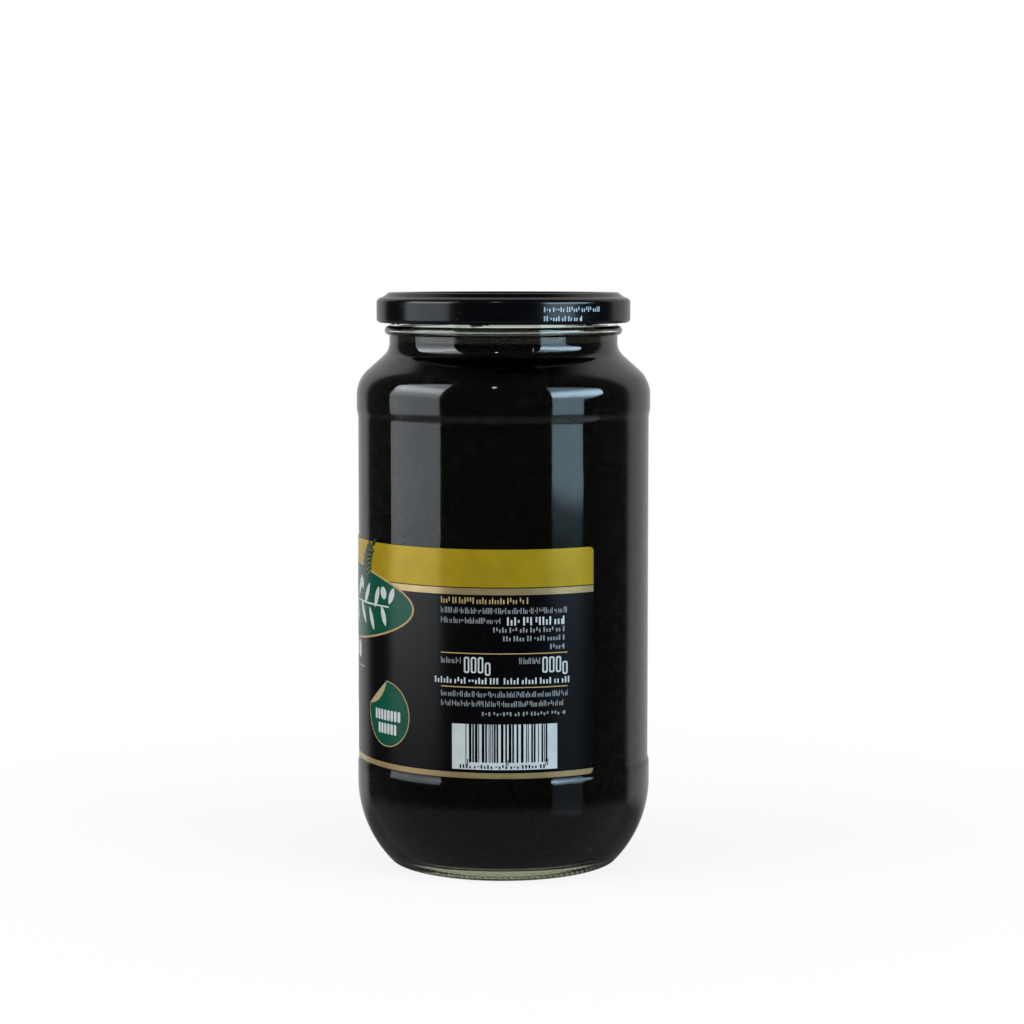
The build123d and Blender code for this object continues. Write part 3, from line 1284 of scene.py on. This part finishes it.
class Flat:
    """One ink's shapes, drawn flat and then wrapped round the jar or the lid."""

    pill_rounding = 0.36  # rounding of a pill's corners, over its smaller side
    ring_width = 0.29  # width of a ring's line, over its smaller side
    strip = 1.2  # widest strip that stays flat when the drawing is wrapped, in millimetres

    def __init__(self, name: str, ink: Ink, radius: float, lift: float) -> None:
        """Starts an empty drawing.

        Args:
            name: The piece's name.
            ink: Its ink.
            radius: Radius of the surface that carries it, in millimetres.
            lift: How far the ink stands off that surface.
        """
        self.name, self.ink, self.radius, self.lift = name, ink, radius, lift
        self.shapes: list[Piece] = []

    def _add(self, shape: Piece, width: float, height: float, x: float, z: float, turn: float = 0.0) -> Piece:
        """Sizes, turns and places a unit shape that lies in the XY plane, facing up."""
        size = Matrix.Diagonal((width * MM, height * MM, 1, 1))
        upright = Matrix.Rotation(math.pi / 2, 4, "X")
        spun = Matrix.Rotation(math.radians(turn), 4, "Z")
        spot = Matrix.Translation(Vector((x, -self.lift, z)) * MM)
        shape.data.transform(spot @ upright @ spun @ size)
        self.shapes.append(shape)
        return shape

    def block(self, x: float, z: float, width: float, height: float) -> None:
        """Plain block with its lower left corner at x, z."""
        bpy.ops.mesh.primitive_plane_add(size=1)
        self._add(bpy.context.object, width, height, x + width / 2, z + height / 2)

    def pill(self, x: float, z: float, width: float, height: float) -> None:
        """Block with rounded corners, with its lower left corner at x, z."""
        bpy.ops.mesh.primitive_plane_add(size=1)
        shape = self._add(bpy.context.object, width, height, x + width / 2, z + height / 2)
        with Editing(shape):
            bpy.ops.mesh.select_mode(type="VERT")
            bpy.ops.mesh.select_all(action="SELECT")
            rounding = min(width, height) * self.pill_rounding * MM
            bpy.ops.mesh.bevel(offset=rounding, segments=4, affect="VERTICES")

    def ring(self, x: float, z: float, width: float, height: float) -> None:
        """Hollow pill with its lower left corner at x, z."""
        self.pill(x, z, width, height)
        with Editing(self.shapes[-1]):
            bpy.ops.mesh.inset(thickness=min(width, height) * self.ring_width * MM)
            bpy.ops.mesh.delete(type="FACE")

    def oval(
        self, x: float, z: float, width: float, height: float, turn: float = 0.0, corners: int = 96
    ) -> Piece:
        """Oval centred at x, z."""
        bpy.ops.mesh.primitive_circle_add(vertices=corners, radius=0.5, fill_type="NGON")
        return self._add(bpy.context.object, width, height, x, z, turn)

    def leaf(self, x: float, z: float, length: float, width: float, turn: float) -> None:
        """Pointed leaf whose stalk end is at x, z and which points along turn, in degrees."""
        bpy.ops.mesh.primitive_circle_add(vertices=20, radius=0.5, fill_type="NGON")
        shape = bpy.context.object

        def taper(at: np.ndarray) -> np.ndarray:
            """Narrows the disc towards both ends."""
            share = np.clip(1 - (at[:, 0] * 2 * MM) ** 2, 0, 1) ** 0.3
            return np.column_stack((at[:, 0], at[:, 1] * share, at[:, 2]))

        move_points(shape, taper)
        reach = length / 2
        along = math.radians(turn)
        self._add(shape, length, width, x + reach * math.cos(along), z + reach * math.sin(along), turn)

    def cells(self, x: float, z: float, width: float, height: float, inked: Sequence[Sequence[bool]]) -> None:
        """Rows of small cells, some of them inked.

        Args:
            x: Left side.
            z: Foot.
            width: Width of all the cells.
            height: Height of all the cells.
            inked: For each column, whether each of its cells has ink, from the foot up.
        """
        columns, rows = len(inked), len(inked[0])
        bpy.ops.mesh.primitive_grid_add(x_subdivisions=columns, y_subdivisions=rows, size=1)
        shape = bpy.context.object

        def bare(centre: Vector) -> bool:
            """Whether the cell at this place has no ink."""
            column = min(columns - 1, int((centre.x + 0.5) * columns))
            row = min(rows - 1, int((centre.y + 0.5) * rows))
            return not inked[column][row]

        with Editing(shape) as edit:
            if edit.select_faces(bare):
                bpy.ops.mesh.delete(type="FACE")
        self._add(shape, width, height, x + width / 2, z + height / 2)

    def words(
        self, x: float, z: float, width: float, height: float, rng: random.Random, cell: float = 0.26
    ) -> None:
        """Line of small wordless marks in groups, like fine print seen from afar.

        Args:
            x: Left side.
            z: Foot.
            width: Width of the line.
            height: Height of the line.
            rng: Source of the pattern.
            cell: Width of one mark.
        """
        columns = max(3, round(width / cell))
        inked: list[list[bool]] = []
        while len(inked) < columns:
            for _ in range(rng.randint(2, 6)):
                inked.extend([[rng.random() < 0.8, True, rng.random() < 0.45], [False] * 3])
            inked.append([False] * 3)
        inked = inked[:columns]
        inked[0] = inked[-1] = [True] * 3
        self.cells(x, z, width, height, inked)

    def bars(self, x: float, z: float, width: float, height: float, modules: int, rng: random.Random) -> None:
        """Upright bars of uneven width, which stand for a code and hold none."""
        inked: list[list[bool]] = []
        while len(inked) < modules:
            inked.extend([[True]] * rng.choice((1, 1, 2, 2, 3)))
            inked.extend([[False]] * rng.choice((1, 1, 2, 3)))
        self.cells(x, z, width, height, inked[:modules - 1] + [[True]])

    def build(self, slot: str) -> Piece:
        """Joins the shapes, wraps them and dresses them.

        Args:
            slot: The record's material slot.

        Returns:
            The print's piece.
        """
        print_piece = join(self.name, self.shapes)
        print_piece.data.materials.clear()
        wrap_round(print_piece, self.radius, self.strip)
        smooth(print_piece, 30)
        print_piece.data.materials.append(PrintedPaper(self.ink).make())
        return settle_in(print_piece, slot)


@dataclass
class WrapLabel:
    """The label's sheet, with its colour bands."""

    right_end: float = 36.5  # degrees from the front to the right-hand end
    wrap: float = 280.0
    thickness: float = 0.15
    corner: float = 1.5
    gold_height: float = 11.5
    keyline: float = 0.3
    tan_height: float = 2.0
    foot_line: float = 1.7
    strip: float = 0.9

    def __post_init__(self) -> None:
        """Takes the label's place from the frame."""
        low, high = node_box("label")
        self.radius = -low.y
        self.foot_z, self.top_z = low.z, high.z
        self.right = math.radians(self.right_end) * self.radius
        self.left = math.radians(self.right_end - self.wrap) * self.radius
        self.middle = (self.left + self.right) / 2

    def build(self) -> Piece:
        """Builds and dresses the sheet."""
        bpy.ops.mesh.primitive_plane_add(size=1)
        sheet = bpy.context.object
        sheet.name = sheet.data.name = "label_sheet"
        width, height = self.right - self.left, self.top_z - self.foot_z
        spot = Matrix.Translation(Vector((self.middle, 0, (self.foot_z + self.top_z) / 2)) * MM)
        size = Matrix.Diagonal((width * MM, height * MM, 1, 1))
        sheet.data.transform(spot @ Matrix.Rotation(math.pi / 2, 4, "X") @ size)
        tan_top = self.top_z - self.gold_height - self.keyline
        edges = [self.foot_z + self.foot_line, tan_top - self.tan_height, tan_top, tan_top + self.keyline]
        with Editing(sheet):
            bpy.ops.mesh.select_mode(type="VERT")
            bpy.ops.mesh.select_all(action="SELECT")
            bpy.ops.mesh.bevel(offset=self.corner * MM, segments=6, affect="VERTICES")
            for z in edges:
                bpy.ops.mesh.select_all(action="SELECT")
                bpy.ops.mesh.bisect(plane_co=(0, 0, z * MM), plane_no=(0, 0, 1), threshold=1e-7)
            bpy.ops.mesh.select_all(action="SELECT")
            bpy.ops.mesh.extrude_region_move(TRANSFORM_OT_translate={"value": (0, self.thickness * MM, 0)})
            bpy.ops.mesh.select_all(action="SELECT")
            bpy.ops.mesh.normals_make_consistent(inside=False)
        wrap_round(sheet, self.radius, self.strip)
        smooth(sheet, 30)
        for ink, metal in ((Ink.FIELD, 0.0), (Ink.GOLD, 0.24), (Ink.FOIL, 0.6)):
            sheet.data.materials.append(PrintedPaper(ink, metal).make())
        for face in sheet.data.polygons:
            z = face.center.z / MM
            in_foil = z < edges[0] or edges[1] < z < edges[2]
            face.material_index = 1 if z > edges[3] else 2 if in_foil else 0
        return settle_in(sheet, "label", "label")


@dataclass
class LabelPrint:
    """The label's wordless print: a green plaque, olive sprigs, a badge, blocks of marks and a bar panel."""

    label: WrapLabel
    seed: int = 7
    plaque_width: float = 109.0
    plaque_height: float = 26.5
    plaque_z: float = 84.2
    rim: float = 0.7
    branch_share: float = 0.80  # length of the branch over the plaque's width
    branch_leaves: int = 23
    branch_leaf: tuple[float, float] = (0.36, 2.3)  # greatest length over the plaque's height, and width
    branch_lean: float = 62.0
    branch_sway: float = 1.1
    branch_stem: float = 0.5
    sprig_side: float = 29.0
    sprig_foot: float = 0.30  # height over the plaque's middle, over its height
    sprig_pairs: int = 6
    sprig_step: float = 1.9
    sprig_lean: float = 48.0
    badge_r: float = 10.3
    badge_z: float = 50.9
    badge_angle: float = -51.1
    fold_share: float = 0.78  # distance from the badge's middle to its fold, over its radius
    box_left: float = -15.8
    box_right: float = 16.8
    box_foot: float = 36.6
    box_height: float = 13.9
    text_left: float = -19.4
    text_right: float = 19.9
    inks: dict[str, Flat] = field(default_factory=dict)

    def __post_init__(self) -> None:
        """Lays out one drawing for each ink and height."""
        layers = (
            ("rims", Ink.TAN, 0.02),
            ("panel", Ink.WHITE, 0.02),
            ("marks", Ink.WHITE, 0.022),
            ("grey", Ink.GREY, 0.022),
            ("green", Ink.GREEN, 0.035),
            ("bars", Ink.FIELD, 0.035),
            ("leaves", Ink.LEAF, 0.045),
            ("cream", Ink.CREAM, 0.055),
            ("light", Ink.WHITE, 0.055),
        )
        for name, ink, lift in layers:
            self.inks[name] = Flat(f"print_{name}", ink, self.label.radius, lift)
        self.rng = random.Random(self.seed)
        self.badge_x = math.radians(self.badge_angle) * self.label.radius
        self.fold = Vector((-0.62, 0, 0.78)).normalized() * self.badge_r * self.fold_share

    def plaque(self) -> None:
        """Wide oval plaque on the front, with a cream olive branch and a sprig above each side."""
        middle = self.label.middle
        self.inks["rims"].oval(middle, self.plaque_z, self.plaque_width, self.plaque_height)
        inner = 2 * self.rim
        self.inks["green"].oval(middle, self.plaque_z, self.plaque_width - inner, self.plaque_height - inner)
        span = self.plaque_width * self.branch_share
        leaf_share, leaf_width = self.branch_leaf
        light = self.inks["light"]
        for i in range(self.branch_leaves):
            share = i / (self.branch_leaves - 1) - 0.5
            x, z = middle + share * span, self.plaque_z + self.branch_sway * math.sin(i * 0.9)
            room = math.sqrt(max(0.0, 1 - (share * self.branch_share * 2) ** 2))
            length = room * self.plaque_height * leaf_share
            turn = (self.branch_lean if i % 2 == 0 else -self.branch_lean) + 8 * math.sin(i * 2.3)
            light.leaf(x, z, max(2.2, length), leaf_width, turn)
            if i % 4 == 1:
                light.oval(x + 1.2, z + length * 0.62, 3.0, 4.0, 20, 32)
        light.block(middle - span / 2, self.plaque_z - self.branch_stem / 2, span, self.branch_stem)

    def _sprigs(self) -> None:
        """Olive sprigs with paired leaves that stand up behind the plaque's upper edge."""
        leaves, veins = self.inks["leaves"], self.inks["cream"]
        for side in (-1, 1):
            x = self.label.middle + side * self.sprig_side
            z = self.plaque_z + self.plaque_height * self.sprig_foot
            for i in range(self.sprig_pairs):
                turn = 90 - side * (4 + 8 * i)
                leaves.leaf(x, z, 2.6, 0.5, turn)
                for lean in (-self.sprig_lean, self.sprig_lean):
                    leaves.leaf(x, z, 5.2 - 0.45 * i, 1.9, turn + lean)
                    veins.leaf(x, z, 4.6 - 0.45 * i, 0.2, turn + lean)
                x += self.sprig_step * math.cos(math.radians(turn))
                z += self.sprig_step * math.sin(math.radians(turn))
            leaves.leaf(x, z, 4.2, 1.7, 90 - side * 52)

    def badge(self) -> None:
        """Round badge with a thin rim and a corner folded over."""
        for name, r in (("rims", self.badge_r), ("green", self.badge_r - 0.35)):
            self._cut(self.inks[name].oval(self.badge_x, self.badge_z, 2 * r, 2 * r))
        x, z, width = self.badge_x + 2 * self.fold.x, self.badge_z + 2 * self.fold.z, 2 * self.badge_r
        self._cut(self.inks["cream"].oval(x, z, width, width))
        for width, z in ((13.2, self.badge_z - 2.1), (9.6, self.badge_z - 6.3)):
            count = round(width / 1.65)
            for i in range(count):
                x = self.badge_x - width / 2 + i * width / count + 0.3
                self.inks["light"].pill(x, z, width / count - 0.45, 3.3)

    def _cut(self, shape: Piece) -> None:
        """Cuts off what lies past the badge's fold."""
        spot = (Vector((self.badge_x, 0, self.badge_z)) + self.fold) * MM
        with Editing(shape):
            bpy.ops.mesh.bisect(plane_co=spot, plane_no=self.fold.normalized(), clear_outer=True, threshold=1e-7)

    def text_block(self) -> None:
        """Rows of wordless marks, rules and hollow weight marks on the right-hand side."""
        left, right = self.text_left, self.text_right
        full = right + 0.3 - left
        rows = (  # ink, left side, foot, width, height, width of one mark
            ("rims", left, 87.2, 27.0, 1.9, 0.42),
            ("grey", left, 84.2, right - left, 1.8, 0.26),
            ("grey", left, 81.2, 18.6, 1.8, 0.26),
            ("marks", 1.2, 80.7, 17.9, 2.5, 0.55),
            ("grey", -3.0, 78.5, 22.1, 1.6, 0.45),
            ("grey", 0.0, 75.9, 19.1, 1.6, 0.45),
            ("grey", 14.5, 73.2, 19.1 - 14.5, 1.6, 0.45),
            ("grey", left, 68.9, 6.4, 1.9, 0.26),
            ("grey", 4.9, 68.9, 6.4, 1.9, 0.26),
            ("marks", -21.5, 62.8, 20.0, 1.9, 0.5),
            ("marks", 0.2, 62.8, 20.6, 1.9, 0.5),
            ("grey", left, 58.8, full, 1.75, 0.26),
            ("grey", left, 55.9, right - 1.2 - left, 1.75, 0.26),
            ("grey", -6.4, 53.1, 25.8, 1.2, 0.5),
        )
        for ink, x, z, width, height, mark in rows:
            self.inks[ink].words(x, z, width, height, self.rng, mark)
        for z in (71.9, 61.6):
            self.inks["rims"].block(left, z, full, 0.32)
        for start in (-12.0, 12.0):
            for i in range(4):
                lower = i == 3
                x, z = start + i * 2.16, 66.1 - 0.7 * lower
                self.inks["marks"].ring(x, z, 1.72, 4.9 - 0.9 * lower)

    def bar_panel(self) -> None:
        """White panel with upright bars and a row of marks under them."""
        width = self.box_right - self.box_left
        self.inks["panel"].block(self.box_left, self.box_foot, width, self.box_height)
        bars = self.inks["bars"]
        bars.bars(self.box_left + 4.3, self.box_foot + 2.2, width - 7.5, self.box_height - 2.2, 95, self.rng)
        for x in (4.3, width / 2 + 0.3, width - 3.8):
            for shift in (0, 0.55):
                bars.block(self.box_left + x + shift, self.box_foot + 1.2, 0.26, 2.0)
        bars.words(self.box_left + 2.4, self.box_foot + 0.35, width - 6.4, 1.15, self.rng, 0.5)

    def front(self) -> None:
        """Plain print under the plaque, on the side that faces away from the bar panel."""
        middle, rng = self.label.middle, self.rng
        marks, rims = self.inks["marks"], self.inks["rims"]
        for i in range(10):
            marks.pill(middle - 24 + i * 4.8, 66.0, 3.8, 5.4)
        rims.block(middle - 27, 63.4, 54, 0.4)
        for x, z, turn in ((-8.5, 52, 20), (0.5, 50, -12), (9.0, 53, 35)):
            rims.oval(middle + x, z, 11.5, 8.6, turn, 64)
            self.inks["bars"].oval(middle + x, z, 10.9, 8.0, turn, 64)
            self.inks["cream"].oval(middle + x - 2.2, z + 1.5, 2.6, 0.8, turn + 12, 24)
        for i, turn in enumerate((150, 118, 62, 30)):
            self.inks["leaves"].leaf(middle - 3 + 2 * i, 55.5, 8.5, 2.6, turn)
        for z, width in ((41.6, 34), (38.6, 26)):
            self.inks["grey"].words(middle - width / 2, z, width, 1.9, rng)

    def table(self) -> None:
        """Ruled table of marks near the left-hand end."""
        left, width = self.label.left + 6, 34.0
        for i in range(9):
            z = 84.0 - i * 4.4
            self.inks["rims"].block(left, z, width, 0.25)
            if i < 8:
                self.inks["grey"].words(left + 0.6, z - 3.2, 17 - (i % 3) * 3, 1.7, self.rng)
                self.inks["marks"].words(left + width - 8, z - 3.2, 7.2, 1.7, self.rng, 0.45)
        for i in range(3):
            self.inks["grey"].words(left, 45.0 - i * 3.0, width - i * 5, 1.6, self.rng)

    def build(self) -> list[Piece]:
        """Draws and wraps every layer."""
        self.plaque()
        self._sprigs()
        self.badge()
        self.text_block()
        self.bar_panel()
        self.front()
        self.table()
        return [drawing.build("label") for drawing in self.inks.values()]


@dataclass
class LidStamp:
    """Two rows of pale wordless marks on the lid's skirt, where a date is jetted."""

    lid: TwistLid
    left_angle: float = 17.9
    upper_width: float = 20.6
    lower_width: float = 13.2
    mark_height: float = 1.55
    upper_drop: float = 4.1
    row_gap: float = 2.75
    mark_width: float = 0.42
    seed: int = 3

    def build(self) -> Piece:
        """Builds and dresses the marks."""
        drawing = Flat("lid_stamp", Ink.JET, self.lid.radius, 0.02)
        rng = random.Random(self.seed)
        left = math.radians(self.left_angle) * self.lid.radius
        for row, width in enumerate((self.upper_width, self.lower_width)):
            z = self.lid.top_z - self.upper_drop - row * self.row_gap - self.mark_height
            drawing.words(left, z, width, self.mark_height, rng, self.mark_width)
        return drawing.build("lid")


# ---------------------------------------------------------------------------------------------------------
# Stage
# ---------------------------------------------------------------------------------------------------------


@dataclass(frozen=True)
class Softbox:
    """A tall soft lamp beside the jar, whose light changes with height and which may narrow to its foot."""

    name: str
    azimuth: float  # degrees from the front, positive to the right
    spread: float  # degrees that it spans
    radiance: float
    tint: Colour
    base: float  # share of the light at the foot
    steps: tuple[Colour, ...]  # pairs of heights between which the light changes, and by what share
    low: float
    high: float
    slant: float  # drop of the top from the end near the front to the far end
    top_fade: float = 0.06
    foot_edge: Optional[float] = None  # right-hand edge at the foot, in metres from the middle
    foot_heights: tuple[float, float] = (0.1, 0.4)  # where the right-hand edge runs outward
    foot_fade: float = 0.012
    ragged_scale: float = 28.0
    ragged_depth: float = 0.05
    distance: float = 0.9

    def build(self) -> None:
        """Hangs the lamp."""
        turn = math.radians(self.azimuth)
        width = 2 * self.distance * math.tan(math.radians(self.spread / 2))
        data = bpy.data.lights.new(self.name, "AREA")
        data.shape = "RECTANGLE"
        data.size, data.size_y = width, self.high - self.low
        data.energy = 1.0
        data.use_nodes = True
        bench = NodeBench(data.node_tree)
        place = bench.node("ShaderNodeNewGeometry").outputs["Position"]
        x, y, z = bench.axes(place)
        sideways = x * math.cos(turn) + y * math.sin(turn)
        steps = (z.between(start, end, 0.0, share) for start, end, share in self.steps)
        glow = sum(steps, self.base) * (self.radiance * math.pi * width * (self.high - self.low))
        outward = (sideways * math.copysign(1.0, self.azimuth) / width + 0.5) * self.slant
        glow = glow * (self.high - outward - z).between(0.0, self.top_fade)
        if self.foot_edge is not None:
            noise = bench.node("ShaderNodeTexNoise", values={"Vector": place, "Scale": self.ragged_scale})
            ragged = (bench.value(noise.outputs[0]) - 0.5) * self.ragged_depth
            edge = z.between(*self.foot_heights, self.foot_edge, width / 2) + ragged
            glow = glow * (edge - sideways).between(0.0, self.foot_fade)
        emission = bench.node("ShaderNodeEmission", values={"Color": self.tint, "Strength": glow})
        bench.node("ShaderNodeOutputLight", values={0: emission.outputs[0]})
        lamp = bpy.data.objects.new(self.name, data)
        middle_z = (self.low + self.high) / 2
        lamp.location = (self.distance * math.sin(turn), -self.distance * math.cos(turn), middle_z)
        lamp.rotation_euler = (math.pi / 2, 0, turn)
        lamp.visible_camera = False
        bpy.context.collection.objects.link(lamp)


@dataclass
class Studio:
    """Pale floor, white surroundings, two softboxes and a small overhead lamp, and the camera."""

    backdrop: float = 0.58  # brightness of the white surroundings seen through glass
    behind: float = 0.54  # their brightness in reflections
    fill: float = 0.52
    dark: float = 0.02
    table: float = 0.17  # brightness of the table's front in reflections
    table_edge: tuple[float, float] = (-0.20, -0.36)
    ceiling_edge: tuple[float, float] = (0.93, 0.70)
    behind_edge: tuple[float, float] = (0.5, 0.66)
    behind_turn: float = 0.16
    below_loss: float = 0.8  # share of the surroundings' light that is lost below the table's edge
    floor_radius: float = 3.0
    floor_shade: float = 0.82
    shadow_share: float = 0.17
    shadow_reach: tuple[float, float] = (0.05, 0.30)
    painted_shadow_under_share: float = 0.5  # painted shadow: brightness seen through the glass right under the jar, over that of the open floor
    painted_shadow_under_reach: tuple[float, float] = (0.030, 0.068)
    lamp_size: float = 0.065
    lamp_energy: float = 0.62
    lamp_place: Colour = (-0.13, -0.95, 1.02)
    lamp_aim: Colour = (0.0, 0.0, 0.15)
    lens: float = 91.94
    camera_distance: float = 0.8292
    camera_height: float = 0.1884
    camera_side: float = 0.0027
    pitch: float = 4.2
    shift: float = -0.0512

    def world(self) -> None:
        """White surroundings for the camera, with a darker room in front for reflections."""
        world = bpy.data.worlds.new("surroundings")
        bpy.context.scene.world = world
        world.use_nodes = True
        bench = NodeBench(world.node_tree)
        rays = bench.node("ShaderNodeLightPath").outputs
        x, y, z = bench.axes(bench.node("ShaderNodeTexCoord").outputs["Generated"])
        across = ((x * x + y * y) ** 0.5).greatest(0.02)
        behind = ((y + x * self.behind_turn) / across).between(*self.behind_edge)
        below = z.between(*self.table_edge)
        front = below * (self.table - self.dark) + self.dark
        wall = z.between(*self.ceiling_edge) * (1 - below * self.below_loss) * self.behind
        seen = front * (1 - behind) + behind * wall
        camera, glossy = bench.value(rays["Is Camera Ray"]), bench.value(rays["Is Glossy Ray"])
        through = bench.value(rays["Is Transmission Ray"])
        plain = 1 - camera.greatest(glossy).greatest(through)
        strength = camera + glossy * seen + through * self.backdrop + plain * self.fill
        background = bench.node("ShaderNodeBackground", values={"Color": (1, 1, 1), "Strength": strength})
        bench.node("ShaderNodeOutputWorld", values={0: background.outputs[0]})

    def floor(self) -> None:
        """Pale floor that fades to white and keeps a trace of the jar's shadow, with a painted shadow right
        under the jar where it is seen through the glass.
        """
        bpy.ops.mesh.primitive_circle_add(vertices=64, radius=self.floor_radius, fill_type="NGON")
        floor = bpy.context.object
        floor.name = "floor"
        material, bench = new_material("pale_floor", (0.9, 0.9, 0.9))
        x, y, _ = bench.axes(bench.place())
        distance = (x * x + y * y) ** 0.5
        rays = bench.node("ShaderNodeLightPath").outputs
        camera, through = bench.value(rays["Is Camera Ray"]), bench.value(rays["Is Transmission Ray"])
        # Painted shadow: seen through the glass, the floor glows less right under the jar.
        under = distance.between(*self.painted_shadow_under_reach, self.painted_shadow_under_share, 1.0)
        glow = camera + through * self.backdrop * under
        white = bench.node("ShaderNodeEmission", values={"Color": (1, 1, 1), "Strength": glow})
        matt = bench.node("ShaderNodeBsdfDiffuse", values={"Color": (self.floor_shade,) * 3})
        share = distance.between(*self.shadow_reach, self.shadow_share, 0.0) * (1 - through)
        mixed = bench.node("ShaderNodeMixShader", values={0: share, 1: white.outputs[0], 2: matt.outputs[0]})
        bench.node("ShaderNodeOutputMaterial", values={0: mixed.outputs[0]})
        floor.data.materials.append(material)
        floor.visible_glossy = False

    def lamps(self) -> None:
        """Softboxes on both sides and a small lamp high in front."""
        Softbox(
            "softbox_left", azimuth=-73.0, spread=48.0, radiance=3.0, tint=(0.87, 0.94, 1.0), base=0.12,
            steps=((-0.13, 0.06, 0.51), (0.2, 0.34, 0.4), (0.34, 0.58, 1.4), (0.66, 0.80, -1.3)),
            low=-0.12, high=1.26, slant=0.55,
        ).build()
        Softbox(
            "softbox_right", azimuth=61.0, spread=47.0, radiance=5.4, tint=(0.58, 0.82, 1.0), base=0.04,
            steps=((0.0, 0.03, 0.06), (0.028, 0.052, 0.45), (0.2, 0.38, 1.7), (0.46, 0.66, -1.7)),
            low=-0.35, high=0.97, slant=0.35, foot_edge=0.04,
        ).build()
        data = bpy.data.lights.new("ceiling_lamp", "AREA")
        data.size, data.energy = self.lamp_size, self.lamp_energy
        lamp = bpy.data.objects.new("ceiling_lamp", data)
        lamp.location = self.lamp_place
        lamp.rotation_euler = (Vector(self.lamp_aim) - lamp.location).to_track_quat("-Z", "Y").to_euler()
        lamp.visible_camera = False
        bpy.context.collection.objects.link(lamp)

    def camera(self) -> None:
        """Long lens, a little above the lid, looking slightly down."""
        data = bpy.data.cameras.new("camera")
        data.lens, data.sensor_width, data.shift_y = self.lens, 36.0, self.shift
        camera = bpy.data.objects.new("camera", data)
        camera.location = (self.camera_side, -self.camera_distance, self.camera_height)
        camera.rotation_euler = (math.radians(90 - self.pitch), 0, 0)
        bpy.context.collection.objects.link(camera)
        bpy.context.scene.camera = camera

    def build(self) -> None:
        """Sets up the whole stage."""
        bpy.context.scene.view_settings.view_transform = "Standard"
        self.world()
        self.floor()
        self.lamps()
        self.camera()


def main() -> None:
    """Builds every sub-assembly in order."""
    jar = GlassJar()
    jar.build()
    Brine(jar).build()
    Core(jar).build()
    OliveHeap(jar).build()
    lid = TwistLid(jar)
    lid.build()
    LidStamp(lid).build()
    label = WrapLabel()
    label.build()
    LabelPrint(label).build()
    Studio().build()


if __name__ == "__main__":
    main()
